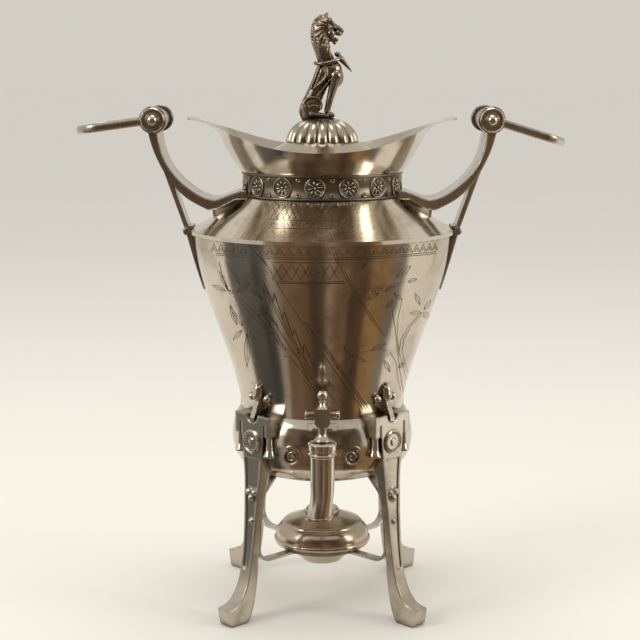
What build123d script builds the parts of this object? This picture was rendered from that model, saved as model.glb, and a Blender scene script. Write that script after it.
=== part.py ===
from build123d import *
import math
import os

# A silver-plated table urn on four cast legs, with a front tap, two hinged
# bail handles, a lift-off lid and a spirit burner in a cradle.
# Millimetres. The urn's axis is Z, the table top is Z = 0 and the tap faces -Y.

# Plate and fits
plate = 1.4             # spun sheet of the vessel
fine_plate = 1.0        # spun sheet of the burner
running_gap = 0.06      # radial clearance of turning fits
loose_gap = 0.4         # clearance of parts that lift off

# Vessel heights above the table
bowl_floor_z = 109.5
bowl_wide_z = 139.0
waist_z = 163.6
shoulder_z = 304.0
shoulder_lip = 2.9
neck_foot_z = 333.5
neck_top_z = 352.6

# Vessel radii
bowl_floor_r = 36.0
bowl_low_r = 67.0
bowl_wide_r = 73.5
bowl_high_r = 70.6
waist_r = 65.6
body_top_r = 103.6
shoulder_r = body_top_r + 2.4
neck_foot_r = 62.1
neck_top_r = 63.4
neck_bead = 0.8         # raised borders of the neck band
rosettes = 15           # round bosses on the neck band
rosette_r = 8.0
rosette_relief = 0.7

# Boat-shaped mouth: a flared collar cut by a curve that dips at front and back
mouth_tip_r = 106.8
mouth_tip_z = 393.6
mouth_dip_z = 370.1
mouth_third_x = 0.393 * mouth_tip_r
mouth_third_z = 374.2
mouth_two_third_x = 0.75 * mouth_tip_r
mouth_two_third_z = 386.8

# Lid
lid_seat_bore_r = 54.0
lid_seat_t = 2.4
lid_r = 60.6
lid_rim_h = 6.0
lid_skirt_h = 8.5
dome_r = 28.5
dome_foot_z = 375.7
dome_h = 19.0
gadroons = 18
lobe_turn = 74.0        # how far the lobes turn in towards the crown
dome_crown_r = 7.5
stud_r = 2.0
nut_flats = 9.0
nut_t = 4.0
beast_h = 82.0          # seated beast above the crown of the dome
beast_seat = 0.4        # clearance between its cast underside and the lobes

# Handles
pivot_x = shoulder_r + 25.3
pivot_z = 393.6
barrel_r = 8.2
barrel_half = 23.5
eye_r = 10.6
cap_r = 9.5
cap_t = 2.4
cap_ball_r = 4.4
pin_r = 3.5
bail_reach = 62.4
bail_depth = 6.6
bail_width = 7.0
eye_t = bail_width + 0.2
eye_gap = 0.3           # play at each side of an eye
bail_corner_r = 17.0
bail_droop_left = 8.0
bail_droop_right = 17.0
bail_swing = 150.0      # from the stop to the folded-in end
stop_span = 24.0        # angle that the stop tooth takes
stop_start = 200.0
stop_h = 2.0
arm_top_half = 22.0
arm_foot_half = 23.0
tongue_half = 19.0
arm_rise = 5.0          # how far it climbs up the neck band
arm_rail = 4.5
arm_web = 3.2
strut_t = 3.4
strut_top_half = 13.0
strut_low_half = 11.5
strut_tip_t = 2.4
strut_tip_z = 257.0
knuckle_r = 3.2

# Legs, measured outwards on the diagonal
leg_face_d = 77.8
leg_toe_d = 110.0
panel_depth = 0.8
panel_border = 2.3
panel_low_z = 45.0
leg_foot_h = 14.0
bracket_top_z = 166.0
bracket_low_z = 149.5
bracket_half = 19.5
bracket_slot_w = 13.4
bracket_slot_h = 9.5
bracket_notch_r = 6.2
strap_top_half = 10.6
strap_mid_half = 7.0
strap_low_half = 5.7
foot_half = 6.5
leg_rosette_z = 144.3
leg_rosette_r = 9.6
leg_rosette_t = 1.8
drop_h = 16.0
drop_r = 4.9
drop_neck_r = 2.6
spray_h = 18.0          # leaf fan above the bracket
leaf_z = 101.5          # middle of the leaf on the leg's face
leaf_lobe_r = 3.4

# Burner and its cradle
cradle_ring_r = 34.0
cradle_ring_t = 3.4
cradle_ring_h = 3.2
cradle_top_z = 46.1
cradle_strap_t = 2.2
cradle_strap_w = 7.0
burner_r = 39.75
burner_rim_h = 4.4
burner_foot_r = 15.5
burner_foot_z = 31.0
burner_break_r = 32.0
burner_break_z = 64.0
burner_top_r = 17.0
burner_top_z = 70.2
snuffer_r = 13.6
snuffer_h = 4.8
wick_tube_r = 5.0
wick_tube_above = 2.4
wick_r = 4.15
wick_low_z = 34.0

# Tap
tap_y = 92.0
tap_port_z = 137.0
spout_lip_z = 93.5
spout_lip_r = 10.0
spout_waist_r = 8.9
barrel_top_r = 10.4
barrel_top_z = 147.5
bonnet_r = 10.9
bonnet_z = 153.5
plug_top_r = 7.9
plug_low_r = 6.8
plug_low_z = 118.0
plug_wall = 1.8
shank_r = 5.0
shank_bore_r = 3.2
shank_end_y = -61.0
nut_face_y = -69.0
escutcheon_t = 1.8
volute_x = 23.5
volute_r = 7.6
volute_rim = 1.8
volute_relief = 1.0
washer_r = 8.5
nut_across = 15.0
shank_nut_t = 5.0
spout_bore_r = 6.4
spout_bend_z = 114.0
spout_lean_x = -2.7       # how far the spout's mouth leans off the tap's axis
spout_lean_y = -2.0
stem_r = 3.3
tang_r = 2.2
tang_top_z = 170.0
key_block_w = 11.8
key_block_d = 9.0
key_low_z = 164.4
key_top_z = 179.4
key_bell_r = 6.3
crossbar_r = 3.0
crossbar_l = 26.6
crossbar_z = 174.6
tap_ball_r = 4.0
tap_ball_z = 189.6

os.makedirs("parts", exist_ok=True)


def turned(*curves):
    """Revolve a closed outline, drawn as radius and height, about the urn's axis."""
    return revolve(Plane.XZ * make_face(list(curves)), Axis.Z)


def turned_polygon(*points):
    """Revolve a closed polygon, drawn as radius and height, about the urn's axis."""
    return revolve(Plane.XZ * make_face(Polyline(*points, close=True)), Axis.Z)


def side_shape(outline, half_width):
    """Extrude an outline drawn as X and Z evenly to both sides of the XZ plane."""
    return extrude(Plane.XZ * outline, half_width, both=True)


def on_diagonals(shape):
    """Four copies of a shape drawn towards +X, turned to the urn's diagonals."""
    return [Rot(0, 0, 45 + 90 * k) * shape for k in range(4)]


def save(name, *solids):
    """Write one node, as one solid or as a group of separate solids."""
    shape = solids[0] if len(solids) == 1 else Compound(children=list(solids))
    export_step(shape, f"parts/{name}.step")


# Vessel

def bowl_curve(inset):
    """Side of the lower bowl, from its floor to the waist, moved inwards by inset."""
    return Spline(
        (bowl_floor_r, bowl_floor_z + inset),
        (bowl_low_r - inset * 0.8, 0.68 * bowl_floor_z + 0.32 * bowl_wide_z + inset * 0.5),
        (bowl_wide_r - inset, bowl_wide_z),
        (bowl_high_r - inset, 0.35 * bowl_wide_z + 0.65 * waist_z),
        (waist_r - inset, waist_z),
        tangents=[(1, 0.05), (-0.75, 1)],
    )


def bowl_solid(inset=0.0):
    """The bowl as a filled solid."""
    curve = bowl_curve(inset)
    return turned(
        curve,
        Line(curve @ 1, (0, waist_z)),
        Line((0, waist_z), (0, bowl_floor_z + inset)),
        Line((0, bowl_floor_z + inset), curve @ 0),
    )


def body_curve(inset):
    """Side of the tapered body, hollow at the waist and full below the shoulder."""
    height = shoulder_z - waist_z
    swell = body_top_r - waist_r
    return Spline(
        (waist_r - inset, waist_z),
        (waist_r + 0.21 * swell - inset, waist_z + 0.245 * height),
        (waist_r + 0.73 * swell - inset, waist_z + 0.66 * height),
        (body_top_r - inset, shoulder_z),
        tangents=[(0.12, 1), (0.10, 1)],
    )


def body_solid(inset=0.0):
    """The tapered body as a filled solid."""
    curve = body_curve(inset)
    return turned(
        curve,
        Line(curve @ 1, (0, shoulder_z)),
        Line((0, shoulder_z), (0, waist_z)),
        Line((0, waist_z), curve @ 0),
    )


def shoulder_curve(inset):
    """Hollow slope of the shoulder, from the neck out to the lip."""
    lip_z = shoulder_z + shoulder_lip
    mid_r = (neck_foot_r + shoulder_r) / 2
    mid_z = (neck_foot_z + lip_z) / 2 - 2.3
    return ThreePointArc(
        (neck_foot_r - inset * 0.9, neck_foot_z - inset * 0.4),
        (mid_r - inset * 0.5, mid_z - inset),
        (shoulder_r - inset * 3.0, lip_z + inset * 0.3),
    )


def make_shoulder():
    """Concave shoulder with an upright lip that covers the top of the body."""
    top = shoulder_curve(0)
    under = shoulder_curve(plate)
    lip_foot_r = (under @ 1).X
    return turned(
        top,
        Line(top @ 1, (shoulder_r, shoulder_z)),
        Line((shoulder_r, shoulder_z), (lip_foot_r, shoulder_z)),
        Line((lip_foot_r, shoulder_z), under @ 1),
        under,
        Line(under @ 0, (neck_foot_r - plate, neck_foot_z)),
        Line((neck_foot_r - plate, neck_foot_z), top @ 0),
    )


def shoulder_block():
    """The shoulder and neck as a filled solid, for seating what stands on them."""
    top = shoulder_curve(0)
    return turned(
        top,
        Line(top @ 1, (shoulder_r, shoulder_z)),
        Line((shoulder_r, shoulder_z), (0, shoulder_z)),
        Line((0, shoulder_z), (0, neck_top_z)),
        Line((0, neck_top_z), (neck_top_r + neck_bead, neck_top_z)),
        Line((neck_top_r + neck_bead, neck_top_z), (neck_foot_r + neck_bead, neck_foot_z)),
        Line((neck_foot_r + neck_bead, neck_foot_z), top @ 0),
    )


def make_neck_band():
    """Upright band between the shoulder and the mouth, with borders and round bosses."""
    border = 1.6
    band = turned_polygon(
        (neck_foot_r - plate, neck_foot_z),
        (neck_foot_r + neck_bead, neck_foot_z),
        (neck_foot_r + neck_bead, neck_foot_z + border),
        (neck_foot_r, neck_foot_z + border),
        (neck_top_r, neck_top_z - border),
        (neck_top_r + neck_bead, neck_top_z - border),
        (neck_top_r + neck_bead, neck_top_z),
        (neck_top_r - plate, neck_top_z),
    )
    relief = turned_polygon(
        (neck_foot_r - 0.4, neck_foot_z),
        (neck_foot_r + rosette_relief, neck_foot_z),
        (neck_top_r + rosette_relief, neck_top_z),
        (neck_top_r - 0.4, neck_top_z),
    )
    mid_z = (neck_foot_z + neck_top_z) / 2
    boss = Pos(neck_top_r, 0, mid_z) * Rot(0, 90, 0) * Cylinder(rosette_r, 8)
    bosses = [Rot(0, 0, 360 / rosettes * k - 90) * boss for k in range(rosettes)]
    return band + (relief & bosses)


def mouth_section(inset):
    """Side of the mouth collar: full above the neck, then upright, then flared to the tip."""
    reach = mouth_tip_r - neck_top_r
    rise = mouth_tip_z - neck_top_z
    stations = [
        (0.02, 0.0, -1.0, 0.2),
        (0.15, 0.18, -0.75, 0.6),
        (0.295, 0.46, -0.93, 0.4),
        (0.463, 0.766, -0.8, 0.6),
        (0.717, 0.944, -0.3, 0.95),
        (1.0, 1.0, 0.0, 1.0),
    ]
    points = [
        (neck_top_r + reach * out + inset * dr, neck_top_z + rise * up + inset * dz)
        for out, up, dr, dz in stations
    ]
    return Spline(*points, tangents=[(1, 0.8), (1, 0.15)])


def make_mouth_rim():
    """Flared collar, cut so that it rises to a spout-like tip at each side."""
    outer = mouth_section(0)
    inner = mouth_section(plate)
    collar = turned(
        outer,
        Line(outer @ 1, inner @ 1),
        inner,
        Line(inner @ 0, (neck_top_r - plate, neck_top_z)),
        Line((neck_top_r - plate, neck_top_z), outer @ 0),
    )
    beyond_x = mouth_tip_r + 2
    tip_z = mouth_tip_z + plate + 0.6
    top_z = tip_z + 10
    points = [
        (-beyond_x, tip_z),
        (-mouth_two_third_x, mouth_two_third_z),
        (-mouth_third_x, mouth_third_z),
        (0, mouth_dip_z),
        (mouth_third_x, mouth_third_z),
        (mouth_two_third_x, mouth_two_third_z),
        (beyond_x, tip_z),
    ]
    waste = make_face([
        Spline(*points),
        Line((beyond_x, tip_z), (beyond_x, top_z)),
        Line((beyond_x, top_z), (-beyond_x, top_z)),
        Line((-beyond_x, top_z), (-beyond_x, tip_z)),
    ])
    return collar - side_shape(waste, 2 * mouth_tip_r)


def make_lid_seat():
    """Ledge soldered inside the neck that carries the lid."""
    neck_r = neck_top_r - plate
    low_z = neck_top_z - lid_seat_t
    slope = (neck_top_r - neck_foot_r) / (neck_top_z - neck_foot_z)
    return turned_polygon(
        (lid_seat_bore_r, low_z),
        (neck_r - slope * lid_seat_t - 0.2, low_z),
        (neck_r - 0.2, neck_top_z),
        (lid_seat_bore_r, neck_top_z),
    )


# Lid

def make_lid_cover():
    """Low cone with an upright rim, and a skirt that drops inside the lid seat."""
    rim_top_z = neck_top_z + lid_rim_h
    skirt_r = lid_seat_bore_r - loose_gap
    skirt_low_z = neck_top_z - lid_skirt_h
    hole_r = stud_r + running_gap
    return turned_polygon(
        (hole_r, dome_foot_z),
        (dome_r, dome_foot_z),
        (lid_r, rim_top_z),
        (lid_r, neck_top_z),
        (skirt_r, neck_top_z),
        (skirt_r, skirt_low_z),
        (skirt_r - plate, skirt_low_z),
        (skirt_r - plate, neck_top_z + plate),
        (lid_r - plate, neck_top_z + plate),
        (lid_r - plate, rim_top_z - 0.9 * plate),
        (dome_r - 0.4 * plate, dome_foot_z - plate),
        (hole_r, dome_foot_z - plate),
    )


def lobe_station(turn):
    """Centre radius, centre height and radius of a lobe at a share of its rise."""
    angle = math.radians(lobe_turn * turn)
    lobe_r = math.pi * dome_r / gadroons
    return (
        (dome_r - lobe_r) * math.cos(angle) + 0.6,
        dome_foot_z + (dome_h - 1.4) * math.sin(angle),
        lobe_r * (1 - 0.7 * turn ** 1.6),
    )


def dome_envelope(gap):
    """Filled solid that touches the backs of all the lobes, grown by a gap."""
    backs = []
    for turn in (0.0, 0.5, 1.0):
        angle = math.radians(lobe_turn * turn)
        r, z, size = lobe_station(turn)
        backs.append((r + (size + gap) * math.cos(angle), z + (size + gap) * math.sin(angle)))
    backs[2] = (backs[2][0], dome_foot_z + dome_h + gap)
    side = ThreePointArc(*backs)
    return turned(
        side,
        Line(backs[2], (0, backs[2][1])),
        Line((0, backs[2][1]), (0, backs[0][1])),
        Line((0, backs[0][1]), backs[0]),
    )


def make_lid_dome():
    """Fluted dome: a hollow cap with rounded lobes that run from its foot to its crown."""
    foot_r, _, lobe_r = lobe_station(0)
    core_r = foot_r + 0.15 * lobe_r
    core_curve = ThreePointArc(
        (core_r, dome_foot_z),
        (core_r * 0.80, dome_foot_z + dome_h * 0.64),
        (dome_crown_r, dome_foot_z + dome_h),
    )
    core = turned(
        core_curve,
        Line(core_curve @ 1, (0, dome_foot_z + dome_h)),
        Line((0, dome_foot_z + dome_h), (0, dome_foot_z)),
        Line((0, dome_foot_z), core_curve @ 0),
    )
    sections = []
    for turn in (0.0, 0.45, 0.8, 1.0):
        angle = math.radians(lobe_turn * turn)
        r, z, size = lobe_station(turn)
        facing = Plane((r, 0, z), x_dir=(0, 1, 0), z_dir=(-math.sin(angle), 0, math.cos(angle)))
        sections.append(facing * Circle(size))
    lobe = loft(sections)
    lobes = [Rot(0, 0, 360 / gadroons * (k + 0.5)) * lobe for k in range(gadroons)]
    up = (Align.CENTER, Align.CENTER, Align.MIN)
    below = Pos(0, 0, dome_foot_z - 20) * Cylinder(2 * dome_r, 20, align=up)
    inside = Pos(0, 0, dome_foot_z) * Cone(core_r - 3, 10, dome_h - 4, align=up)
    stud_hole = Pos(0, 0, dome_foot_z) * Cylinder(stud_r + running_gap, 3 * dome_h)
    return core.fuse(*lobes) - below - inside - stud_hole


def ellipse_at(x, y, z, depth, width):
    """Level ellipse, half as deep along X and half as wide along Y as given."""
    return Pos(x, y, z) * Ellipse(depth, width)


def egg(length, radius):
    """Rounded body of revolution about X, for paws and haunches."""
    half = length / 2
    side = Spline((-half, 0), (0, radius), (half, 0), tangents=[(0, 1), (0, -1)])
    return revolve(make_face([side, Line((half, 0), (-half, 0))]), Axis.X)


def make_finial_beast():
    """Seated maned beast, cast in one with the stud that holds it to the lid."""
    floor_z = dome_foot_z + dome_h
    scale = beast_h / 82.0
    dome = dome_envelope(beast_seat)
    stations = [
        (-5, -13.0, 6.4, 8.2),
        (3, -10.8, 8.5, 9.4),
        (11, -8.4, 7.0, 8.2),
        (18, -5.0, 7.0, 7.2),
        (26, 1.4, 10.2, 7.9),
        (34, 5.6, 10.8, 8.3),
        (42, 5.8, 8.6, 7.2),
        (51, -1.2, 7.7, 6.3),
        (59, -0.4, 9.4, 7.1),
        (67, 0.6, 9.9, 7.2),
        (75, 1.6, 6.2, 5.0),
        (82, 2.6, 1.0, 0.8),
    ]
    trunk = loft([
        ellipse_at(x * scale, 0, floor_z + h * scale, a * scale, b * scale)
        for h, x, a, b in stations
    ])

    def place(x, h, y=0.0):
        return Pos(x * scale, y * scale, floor_z + h * scale)

    def head_section(x, h, width, height, corner):
        facing = Plane((x * scale, 0, floor_z + h * scale), x_dir=(0, 1, 0), z_dir=(1, 0, 0))
        return facing * RectangleRounded(width * scale, height * scale, corner * scale)

    muzzle = loft([head_section(6, 64.5, 9.0, 10.0, 3.0), head_section(15.4, 63.0, 5.6, 4.4, 1.6)])
    jaw = loft([head_section(5, 57.0, 7.5, 4.6, 1.6), head_section(11.6, 57.6, 4.6, 2.0, 0.8)])

    mane_arc = ThreePointArc((2.6, 82.0), (-10.6, 64.0), (-7.6, 47.0))
    teeth = 11
    ridge = [mane_arc @ 1 + (4, 0), mane_arc @ 0 + (3, -8)]
    for k in range(2 * teeth + 1):
        spot = mane_arc @ (k / (2 * teeth))
        away = (mane_arc % (k / (2 * teeth))).rotate(Axis.Z, -90)
        ridge.append(spot + away * (1.7 if k % 2 else 0.4))
    mane_outline = make_face(Polyline(*[(p.X * scale, floor_z + p.Y * scale) for p in ridge], close=True))
    mane = side_shape(mane_outline, 1.0 * scale)

    collar_plane = Plane(
        (6.0 * scale, 0, floor_z + 41.0 * scale), x_dir=(1, 0, -0.12), z_dir=(0.12, 0, 1))
    collar = extrude(collar_plane * Ellipse(9.9 * scale, 8.3 * scale), 2.6 * scale)
    pendant_outline = make_face(Polyline(
        *[(x * scale, floor_z + h * scale) for x, h in ((13, 44), (23.2, 32.7), (15, 33.5), (12, 38))],
        close=True,
    ))
    pendant = side_shape(pendant_outline, 1.6 * scale)

    limbs = []
    for side in (-1, 1):
        foreleg = loft([
            ellipse_at(5.2 * scale, 4.4 * side * scale, floor_z + 2 * scale, 2.2 * scale, 2.0 * scale),
            ellipse_at(4.8 * scale, 4.6 * side * scale, floor_z + 14 * scale, 2.5 * scale, 2.3 * scale),
            ellipse_at(8.0 * scale, 4.0 * side * scale, floor_z + 28 * scale, 4.4 * scale, 3.4 * scale),
        ])
        forepaw = Pos(0, 4.6 * side * scale, 0) * loft([
            head_section(2.6, 2.4, 4.0, 4.0, 1.6),
            head_section(6.4, 1.8, 5.0, 4.4, 1.8),
            head_section(10.4, 0.6, 3.8, 2.8, 1.2),
        ])
        haunch = place(-8.6, 8.6, 5.6 * side) * Rot(0, -38, 0) * egg(17.0 * scale, 5.6 * scale)
        hindpaw = place(-3.4, 1.8, 7.2 * side) * egg(12.0 * scale, 2.5 * scale)
        limbs += [limb - dome for limb in (foreleg, forepaw, haunch, hindpaw)]

    low_z = dome_foot_z - plate - nut_t - 1.0
    stud = Pos(0, 0, low_z) * Cylinder(
        stud_r, floor_z + 8 - low_z, align=(Align.CENTER, Align.CENTER, Align.MIN))
    return (trunk - dome).fuse(muzzle, jaw, mane, collar, pendant, *limbs, stud)


def make_finial_nut():
    """Small hexagon nut under the lid, on the finial's stud."""
    nut = extrude(RegularPolygon(nut_flats / 2, 6, major_radius=False), nut_t)
    bore = Cylinder(stud_r + running_gap, 4 * nut_t)
    return Pos(0, 0, dome_foot_z - plate - nut_t) * (nut - bore)


# Handles, drawn for the +X side

def at_pivot(y):
    """Plane square to the bail's hinge at one place along it, X outwards and Y up."""
    return Plane((pivot_x, y, pivot_z), x_dir=(1, 0, 0), z_dir=(0, -1, 0))


def sector(inner_r, outer_r, start, span, height):
    """Piece of a ring that spans some degrees from a starting angle."""
    ring = Cylinder(outer_r, height, arc_size=span, align=(Align.NONE, Align.NONE, Align.MIN))
    return Rot(0, 0, start) * (ring - Cylinder(inner_r, 3 * height))


def arm_edges():
    """Upper and lower edge of the handle bracket, as X and Z."""
    upper = Spline(
        (pivot_x - 2.0, pivot_z - 5.0),
        (pivot_x - 6.4, pivot_z - 28.0),
        (pivot_x - 25.3, pivot_z - 52.7),
        (pivot_x - 45.0, pivot_z - 62.2),
        (neck_foot_r + 1.0, neck_foot_z + arm_rise),
        tangents=[(-0.1, -1), (-1, 0.3)],
    )
    lower = Spline(
        (pivot_x + 5.5, pivot_z - 4.0),
        (pivot_x - 2.5, pivot_z - 31.6),
        (pivot_x - 14.6, pivot_z - 51.2),
        (pivot_x - 25.2, pivot_z - 61.4),
        (pivot_x - 42.1, pivot_z - 70.8),
        tangents=[(-0.1, -1), (-1, -0.55)],
    )
    return upper, lower


def arm_plan(inset):
    """Upright block with the bracket's plan, narrow at the hinge and wide at the foot."""
    top_half = arm_top_half - inset
    foot_half_w = arm_foot_half - inset
    flare_x = pivot_x - 42.0
    upper_side = [
        (pivot_x + 12.0, top_half), (pivot_x - 6.0, top_half), (flare_x, foot_half_w), (0, foot_half_w)]
    outline = Polyline(*upper_side, *[(x, -y) for x, y in reversed(upper_side)], close=True)
    return extrude(make_face(outline), 2 * pivot_z)


def make_handle_arm():
    """Cast bracket from the shoulder up to the hinge barrel, with a hollow underside."""
    upper, lower = arm_edges()
    inner_foot = (neck_foot_r - 10.0, neck_foot_z)
    toe = lower @ 1
    inner_x = neck_foot_r - 10.0
    side = make_face([
        upper,
        Line(upper @ 0, lower @ 0),
        lower,
        Polyline(
            toe, (toe.X - 6.0, toe.Y + 1.0), (neck_foot_r + 6.0, neck_foot_z - 2.0),
            (inner_x, neck_foot_z - 2.0), (inner_x, neck_foot_z + arm_rise), upper @ 1),
    ])
    bracket = side_shape(side, arm_foot_half + 1) & arm_plan(0)
    tongue_side = make_face(Polyline(
        (toe.X - 1.0, toe.Y + 4.0), (toe.X - 4.5, shoulder_z), (inner_x, shoulder_z),
        (inner_x, neck_foot_z + 1.0), (toe.X - 12.0, toe.Y + 6.0), close=True))
    tongue_plan = make_face(Polyline(
        (inner_x, tongue_half), (neck_foot_r + 3.0, tongue_half), (toe.X - 4.0, 0.48 * tongue_half),
        (toe.X, 0.42 * tongue_half), (toe.X, -0.42 * tongue_half),
        (toe.X - 4.0, -0.48 * tongue_half), (neck_foot_r + 3.0, -tongue_half),
        (inner_x, -tongue_half), close=True))
    tongue = side_shape(tongue_side, tongue_half + 1) & extrude(tongue_plan, 2 * pivot_z)

    roof = Spline(*[upper @ t + (0.45 * arm_web, -arm_web) for t in (0.16, 0.34, 0.52, 0.72, 0.94)])
    hollow_face = make_face([
        roof,
        Polyline(
            roof @ 1, (neck_foot_r + 6.0, shoulder_z), lower @ 1 + (6, -14),
            lower @ 0.5 + (14, -8), lower @ 0.1 + (6, 0), roof @ 0,
        ),
    ])
    hollow = side_shape(hollow_face, arm_foot_half) & arm_plan(arm_rail)
    barrel = Pos(pivot_x, 0, pivot_z) * Rot(90, 0, 0) * Cylinder(barrel_r, 2 * barrel_half)
    bore = Pos(pivot_x, 0, pivot_z) * Rot(90, 0, 0) * Cylinder(pin_r, 4 * barrel_half)
    teeth = [
        at_pivot(-barrel_half) * sector(pin_r + 1.4, barrel_r - 0.5, stop_start, stop_span, stop_h),
        at_pivot(barrel_half + stop_h) * sector(
            pin_r + 1.4, barrel_r - 0.5, stop_start, stop_span, stop_h),
    ]
    cast = (bracket - hollow).fuse(tongue) - shoulder_block()
    cast = cast.fuse(barrel)
    return (cast - bore).fuse(*teeth)


def make_handle_strut(arm):
    """Stay strap from the bracket down past the shoulder lip, ending in a leaf on the body."""
    lip = (shoulder_r + 2.6, shoulder_z + 1.0)
    lean = (pivot_x + 4.9 - lip[0]) / (pivot_z - 9.6 - lip[1])
    top_z = pivot_z - 22.6
    top = (lip[0] + lean * (top_z - lip[1]), top_z)
    inner = strut_t / math.cos(math.radians(17))
    under_lip_z = shoulder_z - plate
    tip_r = waist_r + 0.735 * (body_top_r - waist_r)
    side = make_face(Polyline(
        top,
        lip,
        (tip_r + strut_tip_t, strut_tip_z),
        (tip_r - 8.0, strut_tip_z),
        (body_top_r - 8.0, under_lip_z),
        (shoulder_r - 3.0, under_lip_z),
        (shoulder_r - 3.0, shoulder_z + shoulder_lip + 2.6),
        (lip[0] - inner + 1.4, shoulder_z + shoulder_lip + 2.6),
        (top[0] - inner, top[1]),
        close=True,
    ))
    mid_z = 0.5 * (shoulder_z + strut_tip_z)
    outline = make_face([
        Line((-strut_top_half, pivot_z), (-strut_low_half, shoulder_z)),
        ThreePointArc((-strut_low_half, shoulder_z), (-strut_low_half * 0.8, mid_z), (0, strut_tip_z)),
        ThreePointArc((0, strut_tip_z), (strut_low_half * 0.8, mid_z), (strut_low_half, shoulder_z)),
        Line((strut_low_half, shoulder_z), (strut_top_half, pivot_z)),
        Line((strut_top_half, pivot_z), (-strut_top_half, pivot_z)),
    ])
    knuckle_at = Pos(shoulder_r + 0.55 * knuckle_r, 0, shoulder_z + 0.5 * shoulder_lip)
    knuckle = knuckle_at * Rot(90, 0, 0) * Cylinder(knuckle_r, 2 * strut_low_half + 1.6)
    stay = side_shape(side, strut_top_half + 1) & extrude(Plane.YZ * outline, 2 * pivot_x)
    return stay.fuse(knuckle) - body_solid() - shoulder_block() - arm


def make_bail(droop):
    """Hoop handle with an eye at each end, hanging on its stop at an angle below level."""
    eye_mid = barrel_half + eye_gap + eye_t / 2
    hoop_x = bail_reach - bail_width / 2
    root_x = 0.67 * eye_r
    path = FilletPolyline(
        (root_x, -eye_mid), (hoop_x, -eye_mid), (hoop_x, eye_mid), (root_x, eye_mid),
        radius=bail_corner_r,
    )
    section = Plane(path @ 0, x_dir=(0, 1, 0), z_dir=(1, 0, 0)) * RectangleRounded(
        bail_width, bail_depth, 0.3 * bail_depth)
    hoop = sweep(section, path=path)
    turned_hoop = Pos(pivot_x, 0, pivot_z) * Rot(0, droop, 0) * hoop
    bail = turned_hoop
    for side in (-1, 1):
        eye = Pos(pivot_x, side * eye_mid, pivot_z) * Rot(90, 0, 0) * Cylinder(eye_r, eye_t)
        bail = bail + eye
    play = 0.6
    for face_y in (-(barrel_half + eye_gap), barrel_half + eye_gap + stop_h):
        notch = sector(
            pin_r + 1.0, barrel_r - 0.1,
            stop_start - bail_swing - 1.5, stop_span + bail_swing + 1.5 + play, stop_h)
        bail = bail - at_pivot(face_y) * notch
    bore = Pos(pivot_x, 0, pivot_z) * Rot(90, 0, 0) * Cylinder(pin_r + running_gap, 6 * barrel_half)
    return bail - bore


def cap_profile(face_y):
    """Round cap with a raised rim and a ball at its middle, facing -Y from a given place."""
    sunk_t = 0.55 * cap_t
    outline = Polyline(
        (0, 0), (cap_r, 0), (cap_r, cap_t - 0.8), (cap_r - 0.8, cap_t), (cap_r - 1.7, cap_t),
        (cap_r - 2.4, sunk_t), (cap_ball_r + 1.5, sunk_t), (cap_ball_r + 0.9, cap_t), (0, cap_t),
        close=True)
    disc = at_pivot(face_y) * revolve(Plane.XZ * make_face(outline), Axis.Z)
    return disc.fuse(Pos(pivot_x, face_y - cap_t, pivot_z) * Sphere(cap_ball_r))


def make_bail_pin():
    """Hinge pin with its front cap."""
    outer_y = barrel_half + eye_t + 2 * eye_gap
    rod = Pos(pivot_x, 0, pivot_z) * Rot(90, 0, 0) * Cylinder(pin_r, 2 * outer_y + 2)
    return rod.fuse(cap_profile(-outer_y))


def make_bail_cap():
    """Rear cap, screwed on the end of the hinge pin."""
    outer_y = barrel_half + eye_t + 2 * eye_gap
    cap = mirror(cap_profile(-outer_y), about=Plane.XZ)
    rod = Pos(pivot_x, 0, pivot_z) * Rot(90, 0, 0) * Cylinder(pin_r, 2 * outer_y + 2)
    return cap - rod


# Legs, drawn towards +X and turned to the diagonals

def leg_face_curve():
    """Outer face of a leg, from the bracket down to the toe, as reach and height."""
    return Spline(
        (leg_face_d, 0.85 * leg_rosette_z),
        (leg_face_d + 1.7, 97.0),
        (leg_face_d + 4.4, 65.0),
        (leg_face_d + 8.2, 41.0),
        (leg_face_d + 14.2, 24.6),
        (leg_face_d + 22.0, leg_foot_h + 2.8),
        (leg_toe_d, leg_foot_h + 0.4),
        tangents=[(0, -1), (1, -0.12)],
    )


def leg_ornament():
    """Three-lobed leaf with a bud below it, raised from a leg's face."""
    spots = [(-0.9, 0.6, 0.9), (0.9, 0.6, 0.9), (0, -0.7, 1.0), (0, -6.3, 0.8)]
    lumps = []
    for across, up, size in spots:
        z = leaf_z + up * leaf_lobe_r
        reach = leg_face_d + 6.9 * ((leg_rosette_z - z) / leg_rosette_z) ** 1.25
        lumps.append(Pos(reach - 1.2, across * leaf_lobe_r, z) * Sphere(size * leaf_lobe_r))
    return lumps


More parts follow.
